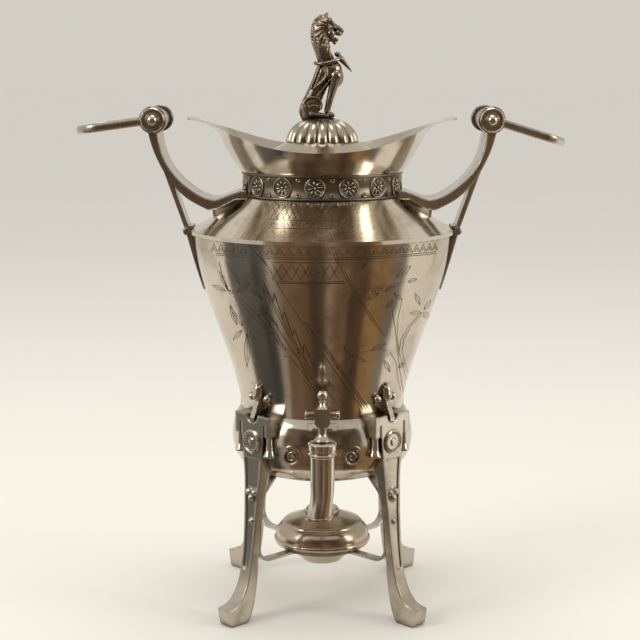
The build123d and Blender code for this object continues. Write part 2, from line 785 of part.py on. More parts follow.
def make_leg_block():
    """Leg and bracket before they are seated on the vessel."""
    face = leg_face_curve()
    back_low = (leg_toe_d - 20.0, 0)
    back = Spline(
        back_low,
        (leg_face_d + 4.2, 17.0),
        (leg_face_d + 0.4, 38.0),
        (leg_face_d - 0.6, cradle_top_z + 6.0),
        tangents=[(-1, 0.9), (-0.1, 1)],
    )
    side = make_face([
        Line((leg_face_d, bracket_top_z), face @ 0),
        face,
        Polyline(face @ 1, (leg_toe_d - 2.5, 1.5), (leg_toe_d - 4.5, 0), back_low),
        back,
        Polyline(
            back @ 1, (leg_face_d - 5.2, 97.0), (leg_face_d - 9.0, bowl_floor_z + 4),
            (waist_r - 6, bracket_low_z), (waist_r - 6, bracket_top_z), (leg_face_d, bracket_top_z)),
    ])
    half = [
        (bracket_half, bracket_top_z),
        (bracket_half, bracket_low_z),
        (strap_top_half + 1.6, bracket_low_z),
        (strap_top_half, leg_rosette_z - leg_rosette_r - 3),
        (strap_top_half - 1.6, 115.0),
        (strap_mid_half, 88.0),
        (strap_low_half, 55.0),
        (strap_low_half + 0.2, 32.0),
        (foot_half, 0),
    ]
    front = make_face(Polyline(*half, *[(-w, z) for w, z in reversed(half)], close=True))
    leg = side_shape(side, bracket_half + 1) & extrude(Plane.YZ * front, 2 * leg_toe_d)
    notch = Pos(leg_face_d, 0, bracket_top_z) * Rot(0, 90, 0) * Cylinder(bracket_notch_r, 40)
    slots = [
        Pos(leg_face_d, w, bracket_low_z + bracket_slot_h / 2) * Box(7, 1.2, bracket_slot_h)
        for w in (-bracket_slot_w, bracket_slot_w)
    ]
    panel_half = [
        (strap_top_half - panel_border, leg_rosette_z - leg_rosette_r - 4.2),
        (strap_mid_half - panel_border, 88.0),
        (strap_low_half - panel_border, panel_low_z),
    ]
    low_w, low_z = panel_half[-1]
    panel = make_face([
        Polyline(*reversed([(-w, z) for w, z in panel_half]), *panel_half),
        ThreePointArc((low_w, low_z), (0, low_z - low_w), (-low_w, low_z)),
    ])
    skin = leg - Pos(-panel_depth, 0, 0) * leg
    sunk = skin & extrude(Plane.YZ * panel, 2 * leg_toe_d)
    return (leg - notch - slots - sunk).fuse(*leg_ornament())


def make_leg(vessel):
    """One cast leg, cut to sit on the bowl and the waist."""
    return make_leg_block() - vessel


def make_leg_rosette():
    """Round boss with a ring and a button, on a leg's strap."""
    outline = Polyline(
        (0, 0), (leg_rosette_r, 0), (leg_rosette_r, leg_rosette_t * 0.5),
        (leg_rosette_r - 1.3, leg_rosette_t), (leg_rosette_r - 2.4, leg_rosette_t * 0.5),
        (leg_rosette_r * 0.36, leg_rosette_t * 0.5), (leg_rosette_r * 0.24, leg_rosette_t),
        (0, leg_rosette_t * 1.1), close=True,
    )
    boss = revolve(Plane.XZ * make_face(outline), Axis.Z)
    return Pos(leg_face_d, 0, leg_rosette_z) * Rot(0, 90, 0) * boss


def make_leg_spray(vessel):
    """Leaf fan with three buds that climbs from the bracket's notch up the body."""
    fan_half = [(0.58, 0.44), (0.44, 0.72), (0.19, 0.58), (0, 1.0)]
    fan_points = [(w * spray_h, bracket_top_z + z * spray_h) for w, z in fan_half]
    fan = make_face(Polyline(
        (0, bracket_top_z), *fan_points, *[(-w, z) for w, z in reversed(fan_points[:-1])], close=True))
    leaf = body_solid(-1.6) & extrude(Plane.YZ * fan, 2 * leg_face_d)
    stem_low_z = bracket_top_z - 0.29 * spray_h
    stem_mid_z = bracket_top_z + 0.56 * spray_h
    stem = side_shape(make_face(Polyline(
        (leg_face_d, stem_low_z), (leg_face_d, stem_low_z + 2.7),
        (waist_r + 7.2, stem_mid_z), (waist_r + 2.0, stem_mid_z + 5.0), (waist_r - 3.0, stem_mid_z),
        (waist_r - 3.0, stem_low_z), close=True)), 0.13 * spray_h)
    centre_r = waist_r + 0.3 * spray_h
    top_z = bracket_top_z + 0.94 * spray_h
    side_w = 0.48 * spray_h
    side_z = bracket_top_z + 0.69 * spray_h
    buds = [
        Pos(centre_r, 0, top_z) * Rot(0, 80, 0) * egg(0.67 * spray_h, 0.23 * spray_h),
        Pos(centre_r + 0.9, 0, top_z + 0.3 * spray_h) * Sphere(0.105 * spray_h),
        Pos(centre_r - 1.6, -side_w, side_z) * Sphere(0.18 * spray_h),
        Pos(centre_r - 1.6, side_w, side_z) * Sphere(0.18 * spray_h),
    ]
    return leaf.fuse(stem, *buds) - vessel


def make_leg_drops(vessel):
    """Pair of bell drops that hang below a bracket's wings."""
    low_z = bracket_low_z - drop_h
    bell = revolve(Plane.XZ * make_face(Polyline(
        (0, low_z + 1.2), (drop_r - 1.4, low_z), (drop_r, low_z + 0.6), (drop_r, low_z + 2.0),
        (drop_neck_r + 0.6, low_z + 6.0), (drop_neck_r, bracket_low_z), (0, bracket_low_z),
        close=True)), Axis.Z)
    across = (bracket_half + bracket_slot_w) / 2
    reach = leg_face_d - 3.4
    return [Pos(reach, w, 0) * bell - vessel for w in (-across, across)]


# Burner and its cradle

def make_cradle_ring():
    """Flat-topped ring that carries the burner by its flange."""
    low_z = cradle_top_z - cradle_ring_h
    inner_r = cradle_ring_r - cradle_ring_t
    return turned_polygon(
        (inner_r, low_z), (cradle_ring_r, low_z),
        (cradle_ring_r, cradle_top_z), (inner_r, cradle_top_z))


def make_cradle_strap(vessel, leg):
    """Strap that braces the leg under the bowl, follows it down and turns in to the ring."""
    mid_z = cradle_top_z - cradle_ring_h / 2
    shin = leg_face_d - 4.6
    inner_r = cradle_ring_r - cradle_ring_t
    path = Plane.XZ * FilletPolyline(
        (shin - 23.0, bowl_floor_z + 8.0),
        (shin - 1.6, 97.0),
        (shin + 1.6, mid_z + 0.6),
        (inner_r, mid_z),
        radius=12.0,
    )
    section = Plane(path @ 0, x_dir=(0, 1, 0), z_dir=path % 0) * Rectangle(
        cradle_strap_w, cradle_strap_t)
    strap = sweep(section, path=path)
    keep_out = Pos(0, 0, mid_z) * Cylinder(cradle_ring_r, 4 * cradle_ring_h)
    return strap - vessel - leg - keep_out


def make_burner_pot():
    """Tapered spirit pot with a flat flange that rests on the cradle ring."""
    neck_z = cradle_top_z - 1.2
    pot_r = cradle_ring_r - cradle_ring_t - 1.0
    flange_top_z = cradle_top_z + 1.2
    return turned_polygon(
        (0, burner_foot_z),
        (burner_foot_r, burner_foot_z),
        (pot_r, neck_z),
        (pot_r, cradle_top_z),
        (burner_r - 1.6, cradle_top_z),
        (burner_r - 1.6, flange_top_z),
        (pot_r - fine_plate, flange_top_z),
        (pot_r - fine_plate, neck_z + 0.4),
        (burner_foot_r - 0.6, burner_foot_z + fine_plate),
        (0, burner_foot_z + fine_plate),
    )


def make_burner_rim():
    """Rolled rim around the burner, between the pot's flange and the cover."""
    low_z = cradle_top_z + 1.2
    top_z = low_z + burner_rim_h
    inner_r = burner_r - 4.6
    shoulder = burner_r - 1.4
    return turned(
        Line((inner_r, low_z), (shoulder, low_z)),
        ThreePointArc((shoulder, low_z), (burner_r, (low_z + top_z) / 2), (shoulder, top_z)),
        Line((shoulder, top_z), (inner_r, top_z)),
        Line((inner_r, top_z), (inner_r, low_z)),
    )


def burner_cover_curve(inset):
    """Rounded skirt and low cone of the burner's cover, moved inwards by inset."""
    low_z = cradle_top_z + 1.2 + burner_rim_h
    foot_r = burner_r - 1.4 - inset
    break_r = burner_break_r - inset
    break_z = burner_break_z - 0.6 * inset
    top = (burner_top_r - inset, burner_top_z - inset)
    skirt = ThreePointArc(
        (foot_r, low_z),
        (0.62 * foot_r + 0.38 * break_r + 0.9, 0.45 * low_z + 0.55 * break_z),
        (break_r + 0.9, break_z - 1.2),
    )
    corner = ThreePointArc(skirt @ 1, (break_r, break_z + 0.2), (break_r - 1.8, break_z + 1.0))
    return [skirt, corner, Line(corner @ 1, top)]


def make_burner_cover():
    """Spun cover with a rounded shoulder that narrows to the wick tube."""
    outer = burner_cover_curve(0)
    inner = burner_cover_curve(fine_plate)
    top = outer[-1] @ 1
    under = inner[-1] @ 1
    return turned(
        *outer,
        Line(top, (wick_tube_r, top.Y)),
        Line((wick_tube_r, top.Y), (wick_tube_r, under.Y)),
        Line((wick_tube_r, under.Y), under),
        *inner,
        Line(inner[0] @ 0, outer[0] @ 0),
    )


def make_wick_tube():
    """Tube that carries the wick, with a collar under the cover."""
    bore_r = wick_r + 0.05
    collar_z = burner_top_z - fine_plate
    return turned_polygon(
        (bore_r, wick_low_z + 3),
        (wick_tube_r, wick_low_z + 3),
        (wick_tube_r, collar_z - 1.6),
        (wick_tube_r + 2.0, collar_z - 1.6),
        (wick_tube_r + 2.0, collar_z),
        (wick_tube_r, collar_z),
        (wick_tube_r, burner_top_z + wick_tube_above),
        (bore_r, burner_top_z + wick_tube_above),
    )


def make_wick():
    """Round plaited wick that stands just proud of its tube."""
    height = burner_top_z + wick_tube_above + 0.8 - wick_low_z
    return Pos(0, 0, wick_low_z) * Cylinder(
        wick_r, height, align=(Align.CENTER, Align.CENTER, Align.MIN))


def make_snuffer():
    """Flat cap that covers the wick and puts out the flame."""
    top_z = burner_top_z + snuffer_h
    return turned_polygon(
        (0, top_z),
        (snuffer_r - 1.0, top_z),
        (snuffer_r, top_z - 1.0),
        (snuffer_r, burner_top_z),
        (snuffer_r - 1.2, burner_top_z),
        (snuffer_r - 1.2, top_z - 1.1),
        (0, top_z - 1.1),
    )


# Tap, drawn about Z and moved out to its place

def at_tap(shape):
    """Move a shape drawn about Z to the tap's axis."""
    return Pos(0, -tap_y, 0) * shape


def plug_r_at(z):
    """Radius of the conical plug at a height."""
    share = (z - plug_low_z) / (barrel_top_z - plug_low_z)
    return plug_low_r + share * (plug_top_r - plug_low_r)


def barrel_outline():
    """Outer profile of the straight part of the tap barrel, from the bend up to its top band."""
    band_z = barrel_top_z - 4.0
    side_r = barrel_top_r - 0.7
    return [
        (spout_waist_r + 0.2, spout_bend_z),
        (side_r - 0.2, 0.5 * (spout_bend_z + band_z)),
        (side_r, band_z - 1.6),
        (barrel_top_r, band_z - 0.8),
        (barrel_top_r + 0.3, band_z + 0.4),
        (side_r, band_z + 1.4),
        (barrel_top_r, band_z + 2.2),
        (barrel_top_r, barrel_top_z),
    ]


def spout(bend_r, waist, mouth_r):
    """Leaning end of the spout as a filled solid, from the bend down to its mouth."""
    stations = [(0, bend_r), (0.35, waist), (0.75, 0.6 * waist + 0.4 * mouth_r), (1, mouth_r)]
    drop = spout_bend_z - spout_lip_z
    return loft([
        Pos(spout_lean_x * t ** 1.4, spout_lean_y * t ** 1.4 - tap_y, spout_bend_z - drop * t) * Circle(r)
        for t, r in stations
    ])


def filled_barrel():
    """The tap barrel without its bore."""
    outline = barrel_outline()
    straight = at_tap(turned_polygon((0, spout_bend_z), *outline, (0, barrel_top_z)))
    lip = Pos(spout_lean_x, spout_lean_y - tap_y, spout_lip_z) * extrude(Circle(spout_lip_r), 1.8)
    return straight.fuse(spout(outline[0][0], spout_waist_r, spout_lip_r - 0.7), lip)


def make_tap_barrel():
    """Upright tap barrel with a conical seat for the plug and a leaning spout below."""
    ledge_z = plug_low_z - 0.3
    top_z = barrel_top_z + 1
    bore = at_tap(turned_polygon(
        (0, spout_bend_z),
        (spout_bore_r, spout_bend_z),
        (spout_bore_r, ledge_z),
        (plug_r_at(ledge_z) + running_gap, ledge_z),
        (plug_r_at(top_z) + running_gap, top_z),
        (0, top_z),
    ))
    mouth = spout(spout_bore_r, spout_bore_r, spout_lip_r - 1.6)
    port = Pos(0, -tap_y / 2, tap_port_z) * Rot(90, 0, 0) * Cylinder(shank_bore_r, tap_y)
    return filled_barrel() - bore - mouth - port


def make_tap_plug():
    """Hollow turning plug with one side port, open below, and its stem."""
    top_z = barrel_top_z - 0.3
    under_z = top_z - plug_wall
    shell = turned_polygon(
        (plug_low_r - plug_wall, plug_low_z),
        (plug_low_r, plug_low_z),
        (plug_r_at(top_z), top_z),
        (stem_r, top_z),
        (stem_r, bonnet_z + loose_gap),
        (tang_r, bonnet_z + loose_gap),
        (tang_r, tang_top_z),
        (0, tang_top_z),
        (0, under_z),
        (plug_r_at(under_z) - plug_wall, under_z),
    )
    port = Pos(plug_top_r / 2, 0, tap_port_z) * Rot(0, 90, 0) * Cylinder(shank_bore_r, plug_top_r)
    return at_tap(shell - port)


def make_tap_bonnet():
    """Screwed cap that holds the plug down."""
    hole_r = stem_r + running_gap
    return at_tap(turned_polygon(
        (hole_r, barrel_top_z),
        (bonnet_r, barrel_top_z),
        (bonnet_r, bonnet_z - 1.6),
        (bonnet_r - 1.2, bonnet_z - 0.4),
        (stem_r + 2.6, bonnet_z),
        (hole_r, bonnet_z),
    ))


def make_tap_key_block():
    """Key block with a rounded lower end and a bell foot, on the plug's stem."""
    half = key_block_w / 2
    round_z = key_low_z + 4.0
    front = make_face([
        Line((-half, round_z), (-half, key_top_z)),
        Line((-half, key_top_z), (half, key_top_z)),
        Line((half, key_top_z), (half, round_z)),
        ThreePointArc((half, round_z), (0, key_low_z), (-half, round_z)),
    ])
    foot_z = bonnet_z + loose_gap
    neck_z = 0.55 * foot_z + 0.45 * key_low_z
    bell_curve = Spline(
        (key_bell_r, foot_z + 0.8),
        (tang_r + 1.3, neck_z),
        (tang_r + 1.1, key_low_z + 1.0),
        tangents=[(-0.6, 1), (0, 1)],
    )
    bell = turned(
        Line((0, foot_z), (key_bell_r, foot_z)),
        Line((key_bell_r, foot_z), bell_curve @ 0),
        bell_curve,
        Line(bell_curve @ 1, (0, key_low_z + 1.0)),
        Line((0, key_low_z + 1.0), (0, foot_z)),
    )
    block = side_shape(front, key_block_d / 2).fuse(bell)
    tang = Pos(0, 0, tang_top_z / 2) * Cylinder(tang_r, tang_top_z)
    across = Pos(0, 0, crossbar_z) * Rot(0, 90, 0) * Cylinder(crossbar_r, 2 * key_block_w)
    return at_tap(block - tang - across)


def make_tap_crossbar():
    """Bar through the key block with a collar at each end."""
    half = crossbar_l / 2
    collar_r = crossbar_r + 0.8
    outline = Polyline(
        (-half, 0), (-half, crossbar_r * 0.85), (-half + 0.6, collar_r), (-half + 1.8, collar_r),
        (-half + 2.4, crossbar_r), (half - 2.4, crossbar_r), (half - 1.8, collar_r),
        (half - 0.6, collar_r), (half, crossbar_r * 0.85), (half, 0), close=True)
    return at_tap(Pos(0, 0, crossbar_z) * revolve(make_face(outline), Axis.X))


def make_tap_knob():
    """Bell-shaped neck with a ball on top of the key block."""
    neck_z = tap_ball_z - tap_ball_r + 0.6
    neck = turned(
        Line((0, key_top_z), (key_block_d / 2, key_top_z)),
        ThreePointArc(
            (key_block_d / 2, key_top_z), (tap_ball_r * 0.55, (key_top_z + neck_z) / 2),
            (tap_ball_r * 0.45, neck_z)),
        Line((tap_ball_r * 0.45, neck_z), (0, neck_z)),
        Line((0, neck_z), (0, key_top_z)),
    )
    collar = Pos(0, 0, key_top_z + 5.4) * Cylinder(tap_ball_r * 0.72, 1.2)
    ball = Pos(0, 0, tap_ball_z) * Sphere(tap_ball_r)
    return at_tap(neck.fuse(collar, ball))


def along_tap(radius, from_y, to_y):
    """Cylinder along Y through the middle of the tap's port."""
    return Pos(0, (from_y + to_y) / 2, tap_port_z) * Rot(90, 0, 0) * Cylinder(
        radius, abs(to_y - from_y))


def make_tap_escutcheon():
    """Shaped plate behind the tap, bent to the bowl, with two tabs above and a volute at each side."""
    half = [
        (0.16, 0.75), (0.16, 1.05), (0.46, 1.05), (0.46, 0.70), (0.38, 0.45), (0.57, 0.30),
        (0.85, 0.27), (1.0, 0.0), (0.75, -0.20), (0.40, -0.27), (0.17, -0.58), (0, -0.77),
    ]
    points = [(x * volute_x, tap_port_z + z * volute_x) for x, z in half]
    plate_face = make_face(Polyline(*points, *[(-x, z) for x, z in reversed(points[:-1])], close=True))
    scrolls = [Pos(x, tap_port_z) * Circle(volute_r) for x in (-volute_x, volute_x)]
    rims = [
        Pos(x, tap_port_z) * (Circle(volute_r) - Circle(volute_r - volute_rim))
        for x in (-volute_x, volute_x)
    ]
    eyes = [Pos(x, tap_port_z) * Circle(0.8 * volute_rim) for x in (-volute_x, volute_x)]
    low = bowl_solid(-escutcheon_t)
    high = bowl_solid(-escutcheon_t - volute_relief)
    backing = low & (Plane.XZ * extrude(plate_face + scrolls, 2 * tap_y))
    relief = high & (Plane.XZ * extrude(Sketch() + rims + eyes, 2 * tap_y))
    return backing.fuse(relief) - bowl_solid() - along_tap(shank_r, -2 * tap_y, 0)


def make_tap_shank():
    """Threaded pipe from the barrel through the bowl, with a collar outside."""
    pipe = along_tap(shank_r, shank_end_y, -tap_y)
    collar = along_tap(shank_r + 2.5, -bowl_wide_r - escutcheon_t - 0.6, -tap_y)
    seated = pipe.fuse(collar) - filled_barrel() - bowl_solid(-escutcheon_t).intersect(
        along_tap(shank_r + 3, -2 * tap_y, 0) - along_tap(shank_r, -2 * tap_y, 0))
    return seated - along_tap(shank_bore_r, -2 * tap_y, 0)


def make_tap_washer():
    """Leather washer between the bowl's inside and the nut."""
    disc = along_tap(washer_r, nut_face_y, -2 * tap_y) & bowl_solid(plate)
    return disc - along_tap(shank_r, -2 * tap_y, 0)


def make_tap_nut():
    """Hexagon nut on the shank, inside the bowl."""
    across = extrude(RegularPolygon(nut_across / 2, 6, major_radius=False), shank_nut_t)
    nut = Pos(0, nut_face_y + shank_nut_t, tap_port_z) * Rot(90, 0, 0) * across
    return nut - along_tap(shank_r, -2 * tap_y, 0)


# Everything in place

filled_vessel = bowl_solid().fuse(body_solid())

bowl_shell = bowl_solid() - bowl_solid(plate) - along_tap(shank_r, -2 * tap_y, 0)
save("lower_bowl", bowl_shell)
save("body_cone", body_solid() - body_solid(plate))
save("shoulder", make_shoulder())
save("neck_band", make_neck_band())
save("mouth_rim", make_mouth_rim())
save("lid_seat", make_lid_seat())

save("lid_cover", make_lid_cover())
save("lid_dome", make_lid_dome())
save("finial_beast", make_finial_beast())
save("finial_nut", make_finial_nut())

arm = make_handle_arm()
strut = make_handle_strut(arm)
pin = make_bail_pin()
cap = make_bail_cap()
handle_nodes = [("handle_arm", arm), ("handle_strut", strut), ("bail_pin", pin), ("bail_cap", cap)]
for node, shape in handle_nodes:
    save(f"{node}_right", shape)
    save(f"{node}_left", mirror(shape, about=Plane.YZ))
save("bail_right", make_bail(bail_droop_right))
save("bail_left", mirror(make_bail(bail_droop_left), about=Plane.YZ))

leg = make_leg(filled_vessel)
leg_names = ["leg_rear_right", "leg_rear_left", "leg_front_left", "leg_front_right"]
for node, shape in zip(leg_names, on_diagonals(leg)):
    save(node, shape)
save("leg_rosettes", *on_diagonals(make_leg_rosette()))
save("leg_sprays", *on_diagonals(make_leg_spray(filled_vessel)))
save("leg_drops", *[
    turned_drop for drop in make_leg_drops(filled_vessel) for turned_drop in on_diagonals(drop)])

save("cradle_ring", make_cradle_ring())
save("cradle_straps", *on_diagonals(make_cradle_strap(filled_vessel, leg)))
save("burner_pot", make_burner_pot())
save("burner_rim", make_burner_rim())
save("burner_cover", make_burner_cover())
save("wick_tube", make_wick_tube())
save("wick", make_wick())
save("snuffer_cap", make_snuffer())

save("tap_escutcheon", make_tap_escutcheon())
save("tap_shank", make_tap_shank())
save("tap_washer", make_tap_washer())
save("tap_nut", make_tap_nut())
save("tap_barrel", make_tap_barrel())
save("tap_bonnet", make_tap_bonnet())
save("tap_plug", make_tap_plug())
save("tap_key_block", make_tap_key_block())
save("tap_crossbar", make_tap_crossbar())
save("tap_knob", make_tap_knob())
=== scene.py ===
import math

import bmesh
import bpy
from mathutils import Matrix, Vector


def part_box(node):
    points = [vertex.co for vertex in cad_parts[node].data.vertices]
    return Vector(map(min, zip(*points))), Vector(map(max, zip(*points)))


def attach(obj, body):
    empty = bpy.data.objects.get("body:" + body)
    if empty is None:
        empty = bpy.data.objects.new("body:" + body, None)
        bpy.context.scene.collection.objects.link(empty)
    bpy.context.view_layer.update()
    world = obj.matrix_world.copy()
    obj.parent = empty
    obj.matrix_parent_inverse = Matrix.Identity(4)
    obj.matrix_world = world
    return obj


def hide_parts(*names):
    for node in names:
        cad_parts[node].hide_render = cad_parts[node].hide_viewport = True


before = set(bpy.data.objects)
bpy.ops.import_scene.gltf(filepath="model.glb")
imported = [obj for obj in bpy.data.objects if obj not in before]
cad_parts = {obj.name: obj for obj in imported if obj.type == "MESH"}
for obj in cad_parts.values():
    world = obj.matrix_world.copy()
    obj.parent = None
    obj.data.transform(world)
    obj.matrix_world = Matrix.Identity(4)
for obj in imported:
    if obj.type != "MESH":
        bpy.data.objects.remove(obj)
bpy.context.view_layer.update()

# Camera, at the photograph's height and distance. The picture's frame is square.

PICTURE_SIDE = 640
camera = bpy.data.objects.new("table_view", bpy.data.cameras.new("table_view"))
bpy.context.scene.collection.objects.link(camera)
camera.location = (-0.0018, -1.18232, 0.42759)
camera.rotation_euler = (math.radians(80.597), 0, 0)
camera.data.lens = 83.04
camera.data.sensor_width = 36
bpy.context.scene.camera = camera
bpy.context.scene.view_settings.view_transform = "Standard"


# Finishes

class Shade:
    """A value on a surface. Sums and products of such values are written as in Python."""

    def __init__(self, nodes, socket):
        self.nodes = nodes
        self.socket = socket

    def calc(self, operation, other):
        return self.nodes.add("ShaderNodeMath", {"operation": operation}, [self, other])

    def __add__(self, other):
        return self.calc("ADD", other)

    def __mul__(self, other):
        return self.calc("MULTIPLY", other)

    __radd__ = __add__
    __rmul__ = __mul__


class Nodes:
    """The shader nodes of a material or of the room."""

    def __init__(self, tree):
        self.tree = tree
        tree.nodes.clear()

    def add(self, kind, settings=None, inputs=None, output=0):
        """Add a node: its settings first, then what its sockets hold or are linked to."""
        node = self.tree.nodes.new(kind)
        for name, setting in (settings or {}).items():
            setattr(node, name, setting)
        items = inputs.items() if isinstance(inputs, dict) else enumerate(inputs or [])
        for name, item in items:
            self.join(node.inputs[name], item)
        return Shade(self, node.outputs[output])

    def join(self, socket, item):
        if isinstance(item, Shade):
            self.tree.links.new(item.socket, socket)
        else:
            socket.default_value = item

    def place(self):
        return self.add("ShaderNodeTexCoord", output="Object")

    def axes(self):
        """X, Y and Z of the surface in metres."""
        split = self.tree.nodes.new("ShaderNodeSeparateXYZ")
        self.join(split.inputs[0], self.place())
        return [Shade(self, s) for s in split.outputs]

    def noise(self, scale, detail=3.0, rough=0.55, stretch=(1, 1, 1), distort=0.0):
        moved = self.add("ShaderNodeMapping", inputs={"Vector": self.place(), "Scale": stretch})
        return self.add("ShaderNodeTexNoise", inputs={
            "Vector": moved, "Scale": scale, "Detail": detail, "Roughness": rough,
            "Distortion": distort})

    def spread(self, value, low, high):
        """Stretch a part of a value's range to the range from 0 to 1."""
        return self.add("ShaderNodeMapRange", inputs={
            "Value": value, "From Min": low, "From Max": high})

    def blend(self, share, first, second):
        """Mix two colours by a share."""
        colours = [c if isinstance(c, Shade) else (*c, 1) for c in (first, second)]
        return self.add(
            "ShaderNodeMix", {"data_type": "RGBA"},
            {0: share, 6: colours[0], 7: colours[1]}, output=2)

    def bump(self, height, depth, strength=1.0, under=None):
        inputs = {"Height": height, "Distance": depth, "Strength": strength}
        if under is not None:
            inputs["Normal"] = under
        return self.add("ShaderNodeBump", inputs=inputs)


class Finish(Nodes):
    """A material made of nodes, with one Principled shader at its end."""

    def __init__(self, name, colour, metallic=1.0, roughness=0.2):
        self.material = bpy.data.materials.new(name)
        self.material.use_nodes = True
        super().__init__(self.material.node_tree)
        self.shader = self.tree.nodes.new("ShaderNodeBsdfPrincipled")
        out = self.tree.nodes.new("ShaderNodeOutputMaterial")
        self.tree.links.new(self.shader.outputs[0], out.inputs[0])
        self.put("Base Color", (*colour, 1))
        self.put("Metallic", metallic)
        self.put("Roughness", roughness)

    def put(self, name, item):
        """Set or link one socket of the shader."""
        self.join(self.shader.inputs[name], item)


def silver_plate(name, light, warm, dark, gloss, grain, patina=0.0, edge=0.0):
    """Old silver plate: warm where it has worn thin, clouded, finely scratched, dark in the corners.

    The patina is how strongly corners darken, and the edge is the radius to which edges look worn.
    """
    metal = Finish(name, light)
    clouds = metal.spread(metal.noise(9, 4, 0.6), 0.35, 0.68)
    tarnish = metal.spread(metal.noise(38, 5, 0.62, distort=0.4), 0.50, 0.80)
    specks = metal.spread(metal.noise(260, 2, 0.5), 0.64, 0.80)
    tone = metal.blend(clouds * 0.85, light, warm)
    tone = metal.blend(tarnish * 0.50, tone, dark)
    tone = metal.blend(specks * 0.30, tone, dark)
    wipes = metal.noise(120, 3, 0.6, stretch=grain)
    scratches = metal.spread(metal.noise(420, 4, 0.7, stretch=(1, 1, 0.15)), 0.50, 0.72)
    rough = gloss + clouds * 0.05 + tarnish * 0.14 + wipes * 0.06 + scratches * 0.05
    if patina:
        corners = metal.add(
            "ShaderNodeAmbientOcclusion", {"samples": 4}, {"Distance": 0.006}, output="AO")
        shade = metal.spread(corners, 0.86, 0.42) * patina
        tone = metal.blend(shade, tone, dark)
        rough = rough + shade * 0.20
    metal.put("Base Color", tone)
    metal.put("Roughness", rough)
    worn = metal.add("ShaderNodeBevel", {"samples": 4}, {"Radius": edge}) if edge else None
    waves = metal.bump(metal.noise(16, 2, 0.4), 0.0006, 0.30, under=worn)
    dents = metal.bump(metal.noise(70, 2, 0.5), 0.00012, 0.5, under=waves)
    metal.put("Normal", metal.bump(wipes, 0.00003, 0.6, under=dents))
    return metal.material


SPUN = (1, 1, 14)
CAST_GRAIN = (1, 1, 1)
spun_silver = silver_plate(
    "spun_silver", (0.66, 0.61, 0.53), (0.50, 0.42, 0.32), (0.16, 0.11, 0.07), 0.09, SPUN, 0.7)
cast_silver = silver_plate(
    "cast_silver", (0.62, 0.57, 0.49), (0.42, 0.36, 0.28), (0.05, 0.035, 0.025), 0.15, CAST_GRAIN,
    patina=0.9, edge=0.0009)
round_silver = silver_plate(
    "round_silver", (0.68, 0.63, 0.55), (0.46, 0.40, 0.31), (0.05, 0.035, 0.025), 0.14, CAST_GRAIN,
    patina=0.8, edge=0.0024)
# Lighter copy of the spun plate for the shoulder: its extra lightness is painted light, for how the light
# falls on the upward-facing shoulder.
painted_light_silver = silver_plate(
    "painted_light_silver", (0.90, 0.84, 0.74), (0.74, 0.64, 0.50), (0.20, 0.14, 0.09), 0.08, SPUN, 0.3)
rubbed_silver = silver_plate(
    "rubbed_silver", (0.74, 0.69, 0.60), (0.54, 0.47, 0.38), (0.08, 0.055, 0.04), 0.12, CAST_GRAIN,
    patina=0.45, edge=0.0005)
burner_silver = silver_plate(
    "burner_silver", (0.58, 0.50, 0.40), (0.40, 0.30, 0.21), (0.10, 0.06, 0.04), 0.15, SPUN, 0.8)
brass = silver_plate(
    "plain_brass", (0.62, 0.45, 0.20), (0.50, 0.34, 0.14), (0.20, 0.12, 0.05), 0.24, CAST_GRAIN)


def cotton():
    """Plaited wick, pale with a scorched end."""
    cloth = Finish("wick_cotton", (0.80, 0.75, 0.64), 0.0, 0.9)
    plait = cloth.noise(900, 2, 0.5, stretch=(1, 1, 0.4))
    height = cloth.axes()[2]
    scorch = cloth.spread(height, 0.0715, 0.0735)
    tone = cloth.blend(plait, (0.62, 0.56, 0.45), (0.86, 0.82, 0.72))
    cloth.put("Base Color", cloth.blend(scorch, tone, (0.03, 0.025, 0.02)))
    cloth.put("Roughness", 0.85 + plait * 0.1)
    cloth.put("Normal", cloth.bump(plait, 0.0004, 0.8))
    return cloth.material


def leather():
    """Dark oiled washer."""
    hide = Finish("washer_leather", (0.20, 0.12, 0.07), 0.0, 0.6)
    grain = hide.noise(500, 3, 0.6)
    hide.put("Base Color", hide.blend(grain, (0.13, 0.075, 0.04), (0.28, 0.18, 0.11)))
    hide.put("Roughness", 0.5 + grain * 0.3)
    hide.put("Normal", hide.bump(grain, 0.0002, 0.7))
    return hide.material


wick_cotton = cotton()
washer_leather = leather()

# First words of the nodes that take each finish, the closest fit first
FINISHES = [
    (rubbed_silver, ("leg_sprays", "leg_drops", "leg_rosettes", "tap_barrel", "tap_bonnet", "tap_knob",
                     "bail_cap", "bail_pin")),
    (round_silver, ("handle", "leg_front", "leg_rear", "bail_left", "bail_right")),
    # The shoulder takes the lighter copy of the plate, with painted light in its colour.
    (painted_light_silver, ("shoulder",)),
    (cast_silver, ("cradle", "finial_beast", "tap_key", "tap_cross", "lid_dome")),
    (brass, ("tap_nut", "wick_tube", "finial_nut")),
    (burner_silver, ("burner", "snuffer")),
    (wick_cotton, ("wick",)),
    (washer_leather, ("tap_washer",)),
]


def finish_for(node):
    """The finish of one of the model's pieces."""
    for finish, starts in FINISHES:
        if node.startswith(starts):
            return finish
    return spun_silver


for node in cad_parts:
    shown = bpy.data.objects[node]
    shown.data.materials.clear()
    shown.data.materials.append(finish_for(node))


# Helpers for the ornament

def finished(name, shape, finish, body, merge=0.0):
    """Make a piece of a bmesh, with its finish, riding on a body of the model."""
    if merge:
        bmesh.ops.remove_doubles(shape, verts=shape.verts, dist=merge)
        bmesh.ops.recalc_face_normals(shape, faces=shape.faces)
    mesh = bpy.data.meshes.new(name)
    shape.to_mesh(mesh)
    shape.free()
    mesh.shade_smooth()
    piece = bpy.data.objects.new(name, mesh)
    bpy.context.scene.collection.objects.link(piece)
    piece.data.materials.append(finish)
    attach(piece, body)
    return piece


